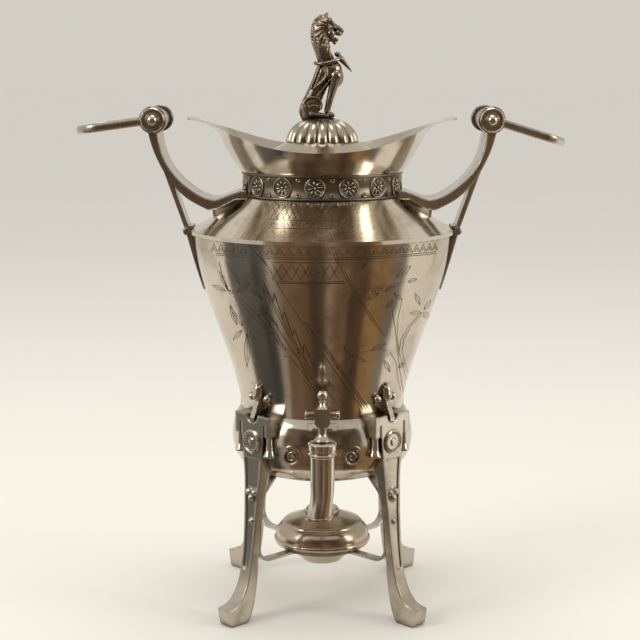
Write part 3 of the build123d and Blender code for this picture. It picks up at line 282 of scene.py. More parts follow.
def in_view(node, u, v):
    """Point of a piece that the camera sees at a place in the picture's frame, or None."""
    look = camera.rotation_euler.to_matrix()
    focal = camera.data.lens / camera.data.sensor_width * PICTURE_SIDE
    aim = look @ Vector((u - PICTURE_SIDE / 2, PICTURE_SIDE / 2 - v, -focal)).normalized()
    found, spot, _, _ = bpy.data.objects[node].ray_cast(camera.location, aim)
    return spot if found else None


LINE_STEP = 4           # spacing of a line's points in the picture


def engrave(name, strokes, node, width):
    """Lines on a turned piece, each a run of places in the picture, and again on its back."""
    drawn = bpy.data.curves.new(name, "CURVE")
    drawn.dimensions = "3D"
    drawn.bevel_depth = width
    drawn.bevel_resolution = 0
    drawn.use_fill_caps = True
    for stroke in strokes:
        run = []
        for (u0, v0), (u1, v1) in zip(stroke, stroke[1:]):
            parts = max(1, round(math.hypot(u1 - u0, v1 - v0) / LINE_STEP))
            run += [(u0 + (u1 - u0) * k / parts, v0 + (v1 - v0) * k / parts) for k in range(parts)]
        spots = [in_view(node, u, v) for u, v in [*run, stroke[-1]]]
        spots = [spot for spot in spots if spot]
        if len(spots) < 2:
            continue
        for turn in (1, -1):
            line = drawn.splines.new("POLY")
            line.points.add(len(spots) - 1)
            for point, spot in zip(line.points, spots):
                point.co = (turn * spot.x, turn * spot.y, spot.z, 1)
    piece = bpy.data.objects.new(name, drawn)
    bpy.context.scene.collection.objects.link(piece)
    # The lines' dark metal is partly tarnish and partly painted shade of the cut grooves.
    drawn.materials.append(cut_silver)
    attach(piece, "vessel")


def ring_run(cu, cv, radius, parts):
    """Places round a ring in the picture's frame."""
    turns = [math.tau * k / parts for k in range(parts + 1)]
    return [(cu + radius * math.cos(turn), cv + radius * math.sin(turn)) for turn in turns]


# Engraving on the body and the shoulder

AXIS_U = 319          # the urn's axis in the picture
LIP_HALF = 137        # half the body's width in the picture, under the lip
LINE_SAG = 4.6        # how far a level line bends up at 100 from the axis


def row_at(u, middle):
    """Height in the picture of a level line round the body, which bends up towards its sides."""
    return middle - LINE_SAG * ((u - AXIS_U) / 100) ** 2


def engrave_frieze():
    """Band of triangles between dots and a double line, under the shoulder's lip."""
    strokes = []
    for middle in (258.0, 259.8):
        for low, high in ((216, 250), (266, 436)):
            strokes.append([(u, row_at(u, middle)) for u in range(low, high + 1, 2)])
    turn = -50.0
    while turn < 62:
        u = AXIS_U + LIP_HALF * math.sin(math.radians(turn))
        if not 248 < u < 266:
            half = 4.7 * math.cos(math.radians(turn))
            strokes.append([
                (u - half, row_at(u, 256.3)), (u, row_at(u, 249.2)),
                (u + half, row_at(u, 256.3))])
            strokes.append([
                (u - half * 0.5, row_at(u, 256.3)), (u, row_at(u, 252.6)),
                (u + half * 0.5, row_at(u, 256.3))])
            strokes.append([
                (u + half - 0.8, row_at(u, 246.0)), (u + half + 0.8, row_at(u, 246.6))])
        turn += 4.15
    return strokes


def engrave_lozenges():
    """Shorter band of lozenges below the frieze."""
    strokes = [
        [(271, 262.2), (300, 263.0), (343, 262.6)], [(280, 283.0), (310, 284.2), (345, 283.2)],
        [(279, 281.4), (310, 282.6), (344, 281.6)]]
    for u in (277, 286.5, 296, 305.5, 325, 334.5):
        strokes.append([(u - 4.2, 264.6), (u, 272.2), (u - 4.6, 279.6)])
        strokes.append([(u + 4.2, 264.6), (u, 272.2), (u + 4.2, 279.6)])
    for size in (4.4, 2.2):
        strokes.append([
            (315 - size, 272.4), (315, 272.4 - 1.7 * size), (315 + size, 272.4),
            (315, 272.4 + 1.7 * size), (315 - size, 272.4)])
    return strokes


def engrave_ribbon():
    """Diagonal ribbon with a beaded edge and a saw-toothed edge."""
    strokes = [[(246, 243), (264, 262), (266, 266)], [(322, 352), (344, 384), (363, 409)]]
    path = [(254, 243), (262, 257), (270, 270), (279, 287), (290, 304), (302, 322), (313, 338)]
    for (u0, v0), (u1, v1) in zip(path, path[1:]):
        parts = round(math.hypot(u1 - u0, v1 - v0) / 2.7)
        for k in range(parts):
            u, v = u0 + (u1 - u0) * k / parts, v0 + (v1 - v0) * k / parts
            strokes.append([(u - 0.9, v - 0.2), (u + 0.9, v + 0.4)])
    for shift in (0, 2.6):
        strokes.append([(305 + shift, 322), (322 + shift, 345), (343 + shift, 375), (366 + shift, 409)])
    tooth = [(263, 292), (264, 283), (273, 303), (274, 293), (283, 319), (284, 311), (293, 336),
             (294, 328), (303, 352), (304, 343), (313, 366)]
    strokes.append(tooth)
    return strokes


def engrave_bands():
    """Pairs of straight diagonal lines, with the arrow heads that end them."""
    strokes = []
    for shift in (0.0, 2.4):
        strokes.append([(330 + shift, 244), (337 + shift, 262), (352 + shift, 289),
                        (371 + shift, 319), (383 + shift, 336)])
        strokes.append([(264 + shift, 290), (280 + shift, 320), (297 + shift, 350),
                        (309 + shift, 372), (321 + shift, 393)])
    strokes += [
        [(268, 322), (277, 335), (286, 350)], [(272, 318), (284, 338), (298, 358), (312, 380), (318, 391)],
        [(290, 357), (301, 370), (316, 391)], [(303, 379), (316, 395)],
        [(276, 340), (286, 352), (284, 357), (289, 356)], [(291, 351), (299, 348), (297, 356), (292, 353)],
        [(293, 354), (300, 352), (298, 359)], [(303, 347), (304, 357), (309, 364)],
        [(262, 305), (264, 316), (270, 322)], [(270, 309), (266, 313), (272, 320), (278, 326)],
        [(311, 378), (318, 384), (324, 396)], [(300, 362), (307, 377), (318, 396), (326, 409)],
        [(340, 400), (350, 412)], [(327, 390), (338, 405), (345, 413)],
    ]
    return strokes


def leaf_stroke(root, tip, width):
    """Outline and midrib of a long leaf."""
    (u0, v0), (u1, v1) = root, tip
    du, dv = u1 - u0, v1 - v0
    length = math.hypot(du, dv)
    nu, nv = -dv / length * width, du / length * width
    sides = []
    for side in (-1, 1):
        sides.append([root, (u0 + 0.3 * du + side * 0.8 * nu, v0 + 0.3 * dv + side * 0.8 * nv),
                      (u0 + 0.6 * du + side * nu, v0 + 0.6 * dv + side * nv), tip])
    return [*sides, [root, (u0 + 0.8 * du, v0 + 0.8 * dv)]]


def engrave_sprays():
    """Loose flower sprays, with leaves, at both sides of the bands."""
    strokes = [
        [(229, 290), (245, 303), (262, 320), (276, 338), (287, 350)],
        [(233, 296), (248, 311), (262, 327), (275, 337)],
        [(228, 265), (236, 277), (241, 287)], [(232, 268), (240, 280)],
        [(219, 262), (223, 278), (229, 291)], [(222, 276), (228, 292)],
        [(392, 309), (395, 327), (397, 345), (400, 372), (403, 391)],
        [(402, 300), (398, 318), (397, 336), (399, 352)],
        [(421, 315), (411, 326), (404, 339), (402, 352), (405, 363), (408, 373)],
        [(418, 316), (408, 327), (401, 340), (399, 352), (403, 366), (406, 378)],
        [(390, 352), (396, 362), (398, 380), (401, 391)],
        [(352, 358), (362, 352), (374, 350), (388, 350)], [(330, 352), (336, 366), (346, 377)],
    ]
    leaves = [
        ((247, 333), (247, 367), 2.6), ((243, 326), (232, 312), 2.4), ((230, 305), (237, 325), 2.2),
        ((226, 291), (212, 285), 2.0), ((228, 290), (219, 271), 2.0), ((236, 292), (250, 284), 2.6),
        ((242, 330), (233, 340), 2.0), ((262, 300), (250, 289), 2.0), ((258, 318), (268, 306), 2.4),
        ((336, 369), (350, 359), 2.4), ((350, 375), (354, 359), 3.0), ((351, 357), (344, 346), 2.0),
        ((356, 356), (366, 362), 2.0), ((371, 351), (386, 343), 2.2), ((385, 291), (401, 282), 2.6),
        ((396, 278), (411, 266), 2.8), ((379, 293), (366, 300), 2.2), ((383, 288), (368, 289), 2.4),
        ((394, 293), (402, 300), 2.0), ((420, 305), (415, 293), 2.0), ((422, 313), (410, 313), 2.2),
        ((424, 310), (431, 300), 1.8), ((393, 300), (386, 308), 2.0), ((408, 282), (417, 279), 1.8),
        ((390, 372), (384, 360), 2.2), ((404, 363), (398, 368), 1.8), ((362, 268), (367, 262), 1.2),
    ]
    for root, tip, width in leaves:
        strokes += leaf_stroke(root, tip, width)
    for u, v, radius in ((231, 292, 2.0), (352, 354, 1.8), (392, 286, 2.0), (426, 315, 3.2), (426, 315, 1.4),
                         (262, 310, 2.0), (374, 292, 1.6)):
        strokes.append(ring_run(u, v, radius, 10))
    return strokes


def engrave_shoulder():
    """Rings, dots, hatched panel and diagonals on the shoulder."""
    strokes = []
    for shift in (0, 3.2):
        strokes.append([(328 + shift, 240), (339 + shift, 224), (351 + shift, 201)])
        strokes.append([(240 + shift, 238), (256 + shift, 222), (277 + shift, 200)])
        strokes.append([(256 + shift, 238), (272 + shift, 221), (292 + shift, 200)])
    for u in (262, 274, 286, 297, 308, 320):
        strokes.append([(u - 0.8, 238), (u + 0.8, 237.6)])
        strokes.append([(u - 1.6, 231), (u + 1.0, 233.4)])
    for u in (273, 283, 294, 305, 316, 327):
        strokes.append(ring_run(u, 224.6, 2.0, 8))
        strokes.append([(u + 4.2, 222.6), (u + 5.8, 226.4)])
    for u in range(272, 332, 6):
        strokes.append([(u + 8, 204), (u - 2, 219)])
        strokes.append([(u, 204), (u + 6, 219)])
    for row in (203, 220.4, 228.8):
        strokes.append([(278 if row < 210 else 268, row - 0.8), (300, row), (333, row)])
    return strokes


# Dark metal of the engraved lines: tarnish in the cuts, and painted shade of grooves that the raised lines
# don't have.
cut_silver = silver_plate(
    "cut_silver", (0.15, 0.11, 0.075), (0.11, 0.08, 0.055), (0.04, 0.03, 0.02), 0.30, CAST_GRAIN)
engrave("engraved_frieze", engrave_frieze(), "body_cone", 0.00028)
engrave("engraved_lozenges", engrave_lozenges(), "body_cone", 0.00030)
engrave("engraved_ribbon", engrave_ribbon(), "body_cone", 0.00034)
engrave("engraved_bands", engrave_bands(), "body_cone", 0.00026)
engrave("engraved_sprays", engrave_sprays(), "body_cone", 0.00024)
engrave("engraved_shoulder", engrave_shoulder(), "shoulder", 0.00026)


# Small forms that the ornament is built of

def facing(spot, normal):
    """Frame on a surface: Z along the normal, X level and Y upwards along it."""
    across = Vector((0, 0, 1)).cross(normal).normalized()
    up = normal.cross(across)
    return Matrix.Translation(spot) @ Matrix((across, up, normal)).transposed().to_4x4()


def add_ring(shape, radius, wire):
    """Round wire bent to a ring that lies flat. Sizes in mm."""
    made = bmesh.ops.create_circle(
        shape, segments=6, radius=wire / 1000,
        matrix=Matrix.Translation((radius / 1000, 0, 0)) @ Matrix.Rotation(math.pi / 2, 4, "X"))
    verts = made["verts"]
    edges = list({edge for vert in verts for edge in vert.link_edges})
    bmesh.ops.spin(
        shape, geom=[*verts, *edges], axis=(0, 0, 1), cent=(0, 0, 0),
        angle=math.tau, steps=32, use_merge=True)


def add_bead(shape, place, size, turn=0.0, rings=6):
    """Ellipsoid with three half sizes, turned about Z. In mm."""
    matrix = (Matrix.Translation(Vector(place) / 1000)
              @ Matrix.Rotation(math.radians(turn), 4, "Z")
              @ Matrix.Diagonal((size[0] / 1000, size[1] / 1000, size[2] / 1000, 1)))
    bmesh.ops.create_uvsphere(shape, u_segments=2 * rings, v_segments=rings, radius=1, matrix=matrix)


def stamp(shape, form, places):
    """Press a small form into a shape at each of several frames."""
    pattern = bpy.data.meshes.new("pattern")
    form.to_mesh(pattern)
    form.free()
    for place in places:
        copy = pattern.copy()
        copy.transform(place)
        shape.from_mesh(copy)
        bpy.data.meshes.remove(copy)
    bpy.data.meshes.remove(pattern)


def wires(name, runs, radius, finish, body):
    """Thin round wires through runs of points in metres. The radius is in mm."""
    drawn = bpy.data.curves.new(name, "CURVE")
    drawn.dimensions = "3D"
    drawn.bevel_depth = radius / 1000
    drawn.bevel_resolution = 1
    drawn.use_fill_caps = True
    for run in runs:
        line = drawn.splines.new("POLY")
        line.points.add(len(run) - 1)
        for point, spot in zip(line.points, run):
            point.co = (*spot, 1)
    piece = bpy.data.objects.new(name, drawn)
    bpy.context.scene.collection.objects.link(piece)
    drawn.materials.append(finish)
    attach(piece, body)
    return piece


# Band of rosettes round the neck

NECK_FOOT = 0.3335
NECK_TOP = 0.3526
BAND_FACE = 0.0627      # radius at which the rosettes sit
ROSETTES = 15
ROSETTE_TURN = -5.2     # degrees of the middle rosette from the front


def make_neck_band():
    """The neck band as a turned shell with raised borders."""
    shape = bmesh.new()
    foot, top = NECK_FOOT, NECK_TOP
    profile = [
        (0.0607, foot), (0.0629, foot), (0.0631, foot + 0.0004), (0.0631, foot + 0.0013),
        (0.0628, foot + 0.0017), (0.0622, foot + 0.0019), (0.0633, top - 0.0019), (0.0640, top - 0.0017),
        (0.0643, top - 0.0013), (0.0643, top - 0.0004), (0.0641, top), (0.0620, top)]
    verts = [shape.verts.new((r, 0, z)) for r, z in profile]
    edges = [shape.edges.new(pair) for pair in zip(verts, verts[1:] + verts[:1])]
    bmesh.ops.spin(
        shape, geom=[*verts, *edges], axis=(0, 0, 1), cent=(0, 0, 0), angle=math.tau, steps=180,
        use_merge=True)
    band = finished("neck_band_turned", shape, band_silver, "vessel", merge=0.00001)
    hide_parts("neck_band")


def make_rosettes():
    """Eight-petalled rosettes in double rings, with sprigs between them."""
    rosette = bmesh.new()
    add_ring(rosette, 7.5, 0.62)
    add_ring(rosette, 6.1, 0.34)
    for petal in range(8):
        turn = 45 * petal + 10
        out = (3.7 * math.cos(math.radians(turn)), 3.7 * math.sin(math.radians(turn)), 0.25)
        add_bead(rosette, out, (2.0, 0.80, 0.75), turn)
    add_bead(rosette, (0, 0, 0.4), (1.15, 1.15, 0.85))
    sprig = bmesh.new()
    for sign in (-1, 1):
        add_bead(sprig, (0, 6.6 * sign, 0.3), (2.4, 0.6, 0.6), rings=5)
        add_bead(sprig, (1.0, 4.9 * sign, 0.3), (1.5, 0.5, 0.5), 62 * sign, rings=5)
        add_bead(sprig, (-1.0, 4.9 * sign, 0.3), (1.5, 0.5, 0.5), -62 * sign, rings=5)
    shape = bmesh.new()
    for form, step in ((rosette, 0), (sprig, 0.5)):
        places = []
        for k in range(ROSETTES):
            turn = math.radians(360 / ROSETTES * (k + step) + ROSETTE_TURN)
            normal = Vector((math.sin(turn), -math.cos(turn), 0))
            middle = Vector((0, 0, (NECK_FOOT + NECK_TOP) / 2))
            places.append(facing(middle + normal * BAND_FACE, normal))
        stamp(shape, form, places)
    finished("neck_rosettes", shape, cast_silver, "vessel")


# Volutes round the tap's back plate, and beads on the legs

def spiral_run(cu, cv, radius, mirror, turns=1.9, parts=34):
    """Places along a spiral in the picture's frame, from its rim in to its eye."""
    run = []
    for k in range(parts + 1):
        share = k / parts
        angle = math.radians(-60 + 360 * turns * share)
        reach = radius * (1 - 0.86 * share)
        run.append((cu - mirror * reach * math.cos(angle), cv + reach * math.sin(angle)))
    return run


def make_volutes():
    """Raised spirals on the plate's two volutes."""
    runs = []
    for cu, mirror in ((292.0, 1), (351.6, -1)):
        spots = [in_view("tap_escutcheon", u, v) for u, v in spiral_run(cu, 457.2, 8.6, mirror)]
        runs.append([spot + Vector((0, -0.0003, 0)) for spot in spots if spot])
    runs = [run for run in runs if len(run) > 8]
    if runs:
        wires("tap_plate_volutes", runs, 0.80, cast_silver, "vessel")


LEG_BEADS = 18
BEAD_RING_R = 6.9       # mm


def make_leg_beads():
    """Ring of beads round the rosette at the head of each leg."""
    beads = bmesh.new()
    for k in range(LEG_BEADS):
        angle = math.tau * k / LEG_BEADS
        across, up = BEAD_RING_R * math.cos(angle), BEAD_RING_R * math.sin(angle)
        add_bead(beads, (across, up, 0.3), (0.85, 0.85, 0.7), rings=5)
    low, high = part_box("leg_rosettes")
    height = (low[2] + high[2]) / 2
    places = []
    for turn in (45, 135, 225, 315):
        out = Vector((math.cos(math.radians(turn)), math.sin(math.radians(turn)), 0))
        start = out * 0.3 + Vector((0, 0, height + BEAD_RING_R / 1000))
        found, spot, _, _ = bpy.data.objects["leg_rosettes"].ray_cast(start, -out)
        if found:
            places.append(facing(Vector((spot.x, spot.y, height)), out))
    shape = bmesh.new()
    stamp(shape, beads, places)
    finished("leg_bead_rings", shape, rubbed_silver, "vessel")


# Beast on the lid, drawn in units of 0.8 mm from the crown of the dome

UNIT = 0.8
CROWN = 394.7           # mm
SKIN_GRID = 0.00036     # cell at which the lumps melt together, in metres


def add_lump(clay, across, up, aside, sizes, tilt=0.0):
    """Ellipsoid of the beast's body, tilted in side view."""
    spot = Vector((across * UNIT, aside * UNIT, CROWN + up * UNIT)) / 1000
    matrix = (Matrix.Translation(spot) @ Matrix.Rotation(math.radians(-tilt), 4, "Y")
              @ Matrix.Diagonal((*[size * UNIT / 1000 for size in (sizes[0], sizes[2], sizes[1])], 1)))
    bmesh.ops.create_uvsphere(clay[0], u_segments=16, v_segments=10, radius=1, matrix=matrix)


def add_limb(clay, stations):
    """Round limb or strand along a line of places, given as across, up, aside and radius."""
    line = clay[1].splines.new("NURBS")
    line.points.add(len(stations) - 1)
    for point, (across, up, aside, radius) in zip(line.points, stations):
        point.co = (across * UNIT / 1000, aside * UNIT / 1000, (CROWN + up * UNIT) / 1000, 1)
        point.radius = radius
    line.order_u = min(3, len(stations))
    line.use_endpoint_u = True
    for across, up, aside, radius in (stations[0], stations[-1]):
        add_lump(clay, across, up, aside, (radius, radius, radius))


def add_trunk(clay, stations, deep):
    """Row of wide lumps along a line of places, flattened across."""
    for (a0, u0, s0, r0), (a1, u1, s1, r1) in zip(stations, stations[1:]):
        for share in (0, 0.33, 0.67, 1):
            radius = r0 + (r1 - r0) * share
            add_lump(clay, a0 + (a1 - a0) * share, u0 + (u1 - u0) * share, s0 + (s1 - s0) * share,
                     (radius, radius, radius * deep))


def add_head(clay):
    """Maned head with an open mouth, facing the right-hand side."""
    add_lump(clay, 2, 87.5, 0, (10.0, 11.0, 7.4))
    add_lump(clay, -1.5, 83, 0, (8.6, 13.0, 6.4))
    add_lump(clay, 8.6, 91.2, 0, (3.8, 3.2, 5.2))
    add_limb(clay, [(8, 90.5, 0, 3.6), (14.5, 87.2, 0, 3.0), (18.4, 84.8, 0, 2.5)])
    add_lump(clay, 15.4, 82.4, 0, (4.8, 2.7, 4.4), -18)
    add_lump(clay, 19.8, 83.8, 0, (1.7, 1.5, 2.2))
    add_limb(clay, [(5, 77.5, 0, 3.4), (10.5, 75.8, 0, 2.6), (14.2, 75.6, 0, 1.8)])
    add_lump(clay, 12.0, 73.4, 0, (1.9, 2.6, 1.9), 15)
    add_limb(clay, [(1.0, 95, 0, 4.2), (3.4, 98.6, 0, 2.6), (4.9, 101.0, 0, 1.3)])
    for side in (-1, 1):
        add_lump(clay, 8.6, 82.0, 3.0 * side, (4.2, 4.6, 4.2))
        add_lump(clay, 11.6, 88.6, 4.3 * side, (1.25, 1.05, 1.0))
        add_limb(clay, [(9.2, 90.4, 4.4 * side, 0.9), (13.4, 90.0, 3.7 * side, 0.7)])
        add_limb(clay, [(10.0, 86.8, 4.9 * side, 0.8), (13.6, 87.0, 4.0 * side, 0.6)])
        add_lump(clay, 3.2, 95.0, 5.0 * side, (1.9, 3.2, 1.5), -24)
        add_lump(clay, 16.8, 80.6, 2.4 * side, (0.7, 1.5, 0.7))
        add_lump(clay, 13.4, 77.6, 1.7 * side, (0.6, 1.2, 0.6))
        for k in range(8):
            angle = math.radians(62 + 24 * k)
            near_a, near_u = 7.0 + 6.4 * math.cos(angle), 84.5 + 8.4 * math.sin(angle)
            far_a, far_u = 6.0 + 12.6 * math.cos(angle + 0.35), 83.5 + 14.0 * math.sin(angle + 0.35)
            add_limb(clay, [
                (near_a, near_u, 6.2 * side, 1.5),
                ((near_a + far_a) / 2 - 0.8, (near_u + far_u) / 2, 7.0 * side, 1.5),
                (far_a, far_u, 4.4 * side, 0.8)])


def add_neck(clay):
    """Arched neck with a scalloped crest behind and long locks at its sides."""
    add_trunk(clay, [(-1, 80, 0, 8.6), (-1.2, 70, 0, 8.2), (1.2, 62, 0, 7.8), (4.6, 53, 0, 8.6)], 0.78)
    crest = [(-1.5, 98.6), (-6.0, 95.4), (-8.8, 90.6), (-10.0, 85.0), (-10.2, 79.2), (-9.2, 73.2),
             (-7.4, 67.6), (-5.2, 62.4), (-2.8, 57.8)]
    for (a0, u0), (a1, u1) in zip(crest, crest[1:]):
        for share in (0.0, 0.5):
            add_lump(clay, a0 + (a1 - a0) * share, u0 + (u1 - u0) * share, 0, (1.75, 1.75, 2.0))
    for side in (-1, 1):
        add_limb(clay, [(-6.6, 92, 2.6 * side, 1.1), (-7.6, 80, 3.6 * side, 1.1),
                        (-5.4, 68, 4.6 * side, 1.1), (-1.0, 59, 5.6 * side, 1.1)])
        for k in range(5):
            add_limb(clay, [
                (-3.4 + 2.6 * k, 76 - 1.6 * k, 5.4 * side, 1.2),
                (-3.8 + 2.4 * k, 68 - 1.2 * k, (6.5 - 0.2 * k) * side, 1.3),
                (-0.4 + 2.2 * k, 60 - 0.6 * k, 6.0 * side, 0.8)])


def add_collar(clay):
    """Band slung round the root of the neck, knotted in front, with a pointed end."""
    around = []
    for k in range(25):
        turn = math.tau * k / 24
        around.append((
            5.4 + 12.4 * math.cos(turn), 55.6 + 2.6 * math.cos(turn) - 2.4 * math.sin(turn) ** 2,
            9.2 * math.sin(turn), 2.0))
    add_limb(clay, around)
    add_lump(clay, 15.2, 61.6, 0, (3.4, 2.6, 3.6), -20)
    add_limb(clay, [(18.0, 57.8, 0, 3.0), (23.6, 51.6, 0, 2.2), (29.0, 45.2, 0, 0.7)])


def add_body(clay):
    """Deep chest, hollow flank, haunches and the two forelegs, with ribs and a shoulder fold."""
    add_lump(clay, 8.0, 45.5, 0, (12.0, 11.5, 9.0), -20)
    add_lump(clay, 12.6, 39.5, 0, (8.6, 10.5, 8.2))
    add_trunk(clay, [(2.5, 44, 0, 9.6), (-3.6, 31, 0, 8.6), (-9.4, 18, 0, 8.8), (-12.4, 7, 0, 8.4),
                     (-13.0, 1.5, 0, 7.4)], 0.85)
    for side in (-1, 1):
        add_limb(clay, [(1.4, 53, 7.2 * side, 1.4), (5.4, 44, 9.0 * side, 1.7), (1.6, 35, 8.7 * side, 1.6),
                        (-8.4, 28.6, 6.8 * side, 1.1)])
        add_limb(clay, [(-2.6, 50, 6.6 * side, 1.1), (-6.0, 41, 6.6 * side, 1.2),
                        (-11.0, 29, 6.2 * side, 0.9)])
        for k in range(5):
            add_limb(clay, [
                (7.6 - 2.6 * k, 37.5 - 3.6 * k, (8.3 - 0.2 * k) * side, 0.9),
                (3.6 - 2.9 * k, 30.5 - 3.2 * k, (7.8 - 0.2 * k) * side, 0.7)])
        add_limb(clay, [(13.6, 41, 4.6 * side, 6.0), (10.4, 28, 4.8 * side, 4.3),
                        (6.9, 16, 5.0 * side, 3.4), (4.9, 6.5, 5.2 * side, 3.1)])
        add_limb(clay, [(14.6, 40, 9.2 * side, 1.0), (11.8, 28, 8.4 * side, 0.9),
                        (8.0, 15, 7.9 * side, 0.7)])
        add_lump(clay, 7.4, 2.8, 5.2 * side, (4.9, 2.7, 3.5))
        for toe in (-1, 0, 1):
            add_lump(clay, 10.6, 1.9, (5.2 + 1.9 * toe) * side, (1.9, 1.7, 1.0))
        add_lump(clay, -9.4, 12.4, 5.6 * side, (10.0, 8.6, 5.0), 12)
        scroll = []
        for k in range(11):
            angle = math.radians(205 - 23 * k)
            scroll.append((-9.4 + 8.9 * math.cos(angle), 12.6 + 7.4 * math.sin(angle), 9.6 * side, 1.3))
        add_limb(clay, scroll)
        add_limb(clay, [(-12.6, 10.4, 10.4 * side, 1.0), (-7.4, 12.8, 10.6 * side, 1.0),
                        (-4.0, 10.0, 10.2 * side, 0.8)])
        add_limb(clay, [(-10.5, 3.4, 7.4 * side, 2.9), (-2.0, 2.4, 8.0 * side, 2.5),
                        (2.4, 1.9, 8.0 * side, 2.3)])
        for toe in (-1, 0, 1):
            add_lump(clay, 4.4, 1.5, (8.0 + 1.6 * toe) * side, (1.9, 1.6, 0.9))
    add_limb(clay, [(-16.0, 17, 0, 3.4), (-20.0, 10, 0, 3.0), (-20.6, 2.6, 0, 2.5), (-17.6, -2.2, 0, 2.1)])


def make_beast():
    """The seated beast: lumps and limbs melted to one cast skin."""
    limbs = bpy.data.curves.new("beast_limbs", "CURVE")
    limbs.dimensions = "3D"
    limbs.bevel_depth = UNIT / 1000
    limbs.bevel_resolution = 2
    limbs.resolution_u = 5
    limbs.use_fill_caps = True
    clay = (bmesh.new(), limbs)
    for part in (add_head, add_neck, add_collar, add_body):
        part(clay)
    lines = bpy.data.objects.new("beast_limbs", limbs)
    bpy.context.scene.collection.objects.link(lines)
    tubes = bpy.data.meshes.new_from_object(lines.evaluated_get(bpy.context.evaluated_depsgraph_get()))
    bpy.data.objects.remove(lines)
    clay[0].from_mesh(tubes)
    mesh = bpy.data.meshes.new("beast_lumps")
    clay[0].to_mesh(mesh)
    clay[0].free()
    lumps = bpy.data.objects.new("beast_lumps", mesh)
    bpy.context.scene.collection.objects.link(lumps)
    melt = lumps.modifiers.new("melt", "REMESH")
    melt.mode = "VOXEL"
    melt.voxel_size = SKIN_GRID
    soften = lumps.modifiers.new("soften", "SMOOTH")
    soften.factor = 0.5
    soften.iterations = 2
    skin = bpy.data.meshes.new_from_object(lumps.evaluated_get(bpy.context.evaluated_depsgraph_get()))
    bpy.data.objects.remove(lumps)
    skin.name = "seated_beast"
    skin.shade_smooth()
    beast = bpy.data.objects.new("seated_beast", skin)
    bpy.context.scene.collection.objects.link(beast)
    skin.materials.clear()
    skin.materials.append(beast_silver)
    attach(beast, "lid")
    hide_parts("finial_beast")


beast_silver = silver_plate(
    "beast_silver", (0.36, 0.30, 0.23), (0.22, 0.17, 0.12), (0.02, 0.014, 0.01), 0.20, CAST_GRAIN, 1.0)
band_silver = silver_plate(
    "band_silver", (0.26, 0.22, 0.17), (0.18, 0.14, 0.10), (0.05, 0.035, 0.025), 0.30, CAST_GRAIN, 0.9)
make_neck_band()
make_rosettes()
make_volutes()
make_leg_beads()
make_beast()


# Floor, cards, lamps and room light

FLOOR_TONE = (0.80, 0.785, 0.745)
ROOM_TONE = (0.80, 0.785, 0.755)
PALE_FAR = tuple(floor * room for floor, room in zip(FLOOR_TONE, ROOM_TONE))

CARD_START = 0.13       # radius at which the cards on the table start
CARD_END = 2.4

# Name, start and span in degrees, and two tones of each card on the table round the urn. The cards glow with
# these tones and show only in the metal: painted reflections.
FLOOR_CARDS = [
    ("grey_card_left", -185, 30, (0.075, 0.075, 0.07), (0.15, 0.145, 0.13)),
    ("dark_card_left", -155, 14, (0.035, 0.032, 0.03), (0.09, 0.08, 0.07)),
    ("pale_card_left", -141, 9, (0.30, 0.26, 0.21), (0.50, 0.45, 0.38)),
    ("tan_card_left", -132, 30, (0.13, 0.075, 0.04), (0.24, 0.15, 0.085)),
    ("dark_card_middle", -102, 15, (0.055, 0.03, 0.016), (0.12, 0.068, 0.036)),
    ("pale_card_middle", -87, 8, (0.22, 0.15, 0.10), (0.36, 0.26, 0.18)),
    ("tan_card_middle", -79, 14, (0.14, 0.08, 0.038), (0.24, 0.15, 0.08)),
    ("dark_card_right", -65, 18, (0.05, 0.027, 0.013), (0.11, 0.06, 0.03)),
    ("tan_card_right", -47, 22, (0.16, 0.085, 0.025), (0.34, 0.20, 0.075)),
    ("grey_card_right", -25, 15, (0.13, 0.115, 0.095), (0.26, 0.23, 0.19)),
]


def sweep_sheet(name, ends, start, sweep, steps=48):
    """Thin sheet: the line between two points, turned about the urn's axis."""
    shape = bmesh.new()
    tips = [shape.verts.new(point) for point in ends]
    line = shape.edges.new(tips)
    bmesh.ops.rotate(shape, verts=tips, matrix=Matrix.Rotation(math.radians(start), 3, "Z"))
    bmesh.ops.spin(
        shape, geom=[*tips, line], axis=(0, 0, 1), cent=(0, 0, 0),
        angle=math.radians(sweep), steps=steps)
    mesh = bpy.data.meshes.new(name)
    shape.to_mesh(mesh)
    shape.free()
    sheet = bpy.data.objects.new(name, mesh)
    bpy.context.scene.collection.objects.link(sheet)
    return sheet


def make_floor():
    """Wide pale table top under the urn."""
    floor = sweep_sheet("floor", [(0.001, 0, 0), (60, 0, 0)], 0, 360, 96)
    paint = Finish("pale_floor", FLOOR_TONE, 0.0, 0.8)
    grain = paint.noise(3, 3, 0.5)
    ends = [tuple(tone + shift for tone in FLOOR_TONE) for shift in (-0.012, 0.012)]
    paint.put("Base Color", paint.blend(grain, *ends))
    paint.put("Specular IOR Level", 0.1)
    floor.data.materials.append(paint.material)


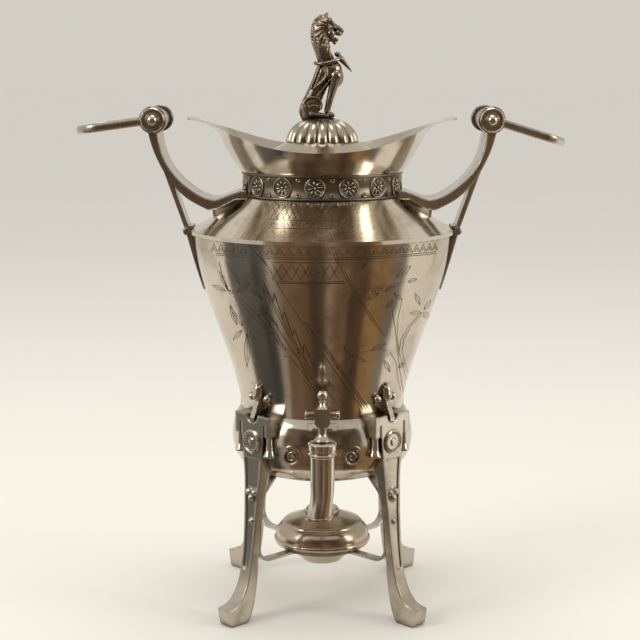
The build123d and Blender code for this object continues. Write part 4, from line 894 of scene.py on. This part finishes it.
def make_card(name, ends, start, sweep, low, high, size):
    """Card that glows with its own colour and that only the metal's reflections show, standing in for the
    cards round a piece of silver in a studio: a painted reflection.
    """
    card = sweep_sheet(name, ends, start, sweep)
    card.visible_camera = False
    card.visible_diffuse = False
    card.visible_shadow = False
    glowing_sheet = Finish(name, (0, 0, 0), 0.0, 1.0)
    patches = glowing_sheet.spread(glowing_sheet.noise(size, 2, 0.5), 0.40, 0.62)
    # The card's own glow is the painted reflection that it puts on the metal.
    glowing_sheet.put("Emission Color", glowing_sheet.blend(patches, low, high))
    glowing_sheet.put("Emission Strength", 1.0)
    card.data.materials.append(glowing_sheet.material)


def make_lamp(name, place, aim, size, power, colour):
    """Soft square lamp that points at a place."""
    lamp = bpy.data.lights.new(name, "AREA")
    lamp.shape = "RECTANGLE"
    lamp.size, lamp.size_y = size
    lamp.energy = power
    lamp.color = colour
    holder = bpy.data.objects.new(name, lamp)
    holder.location = place
    holder.rotation_euler = (Vector(aim) - Vector(place)).to_track_quat("-Z", "Y").to_euler()
    bpy.context.scene.collection.objects.link(holder)


def make_room():
    """Even room light, with a pale ground for the camera and for reflections."""
    world = bpy.data.worlds.new("room")
    bpy.context.scene.world = world
    world.use_nodes = True
    room = Nodes(world.node_tree)
    out = room.tree.nodes.new("ShaderNodeOutputWorld")
    light = room.tree.nodes.new("ShaderNodeBackground")
    room.tree.links.new(light.outputs[0], out.inputs[0])
    ground = room.add("ShaderNodeLightPath", output="Is Camera Ray")
    for ray in ("Is Glossy Ray", "Is Transmission Ray"):
        ground = ground.calc("MAXIMUM", room.add("ShaderNodeLightPath", output=ray))
    room.join(light.inputs["Color"], room.blend(ground, ROOM_TONE, PALE_FAR))
    light.inputs["Strength"].default_value = 1.0


make_floor()
make_room()
for name, start, sweep, low, high in FLOOR_CARDS:
    make_card(name, [(CARD_START, 0, 0.002), (CARD_END, 0, 0.002)], start, sweep, low, high, 5)
# Glowing dark brown card in place of the room's front wall: a painted reflection, seen only in the metal.
make_card("front_wall_card", [(CARD_END, 0, 0.0), (CARD_END, 0, 1.7)], -140, 100,
          (0.05, 0.035, 0.022), (0.18, 0.12, 0.07), 1.6)
make_lamp("left_window", (-1.6, -0.9, 1.2), (0, 0, 0.25), (0.7, 1.1), 14, (1.0, 0.96, 0.88))
make_lamp("right_fill", (1.6, -0.6, 0.8), (0, 0, 0.25), (0.5, 1.0), 8, (1.0, 0.93, 0.82))
make_lamp("ceiling_lamp", (0.0, 0.2, 1.9), (0, 0, 0.2), (0.9, 0.9), 9, (1.0, 0.94, 0.84))
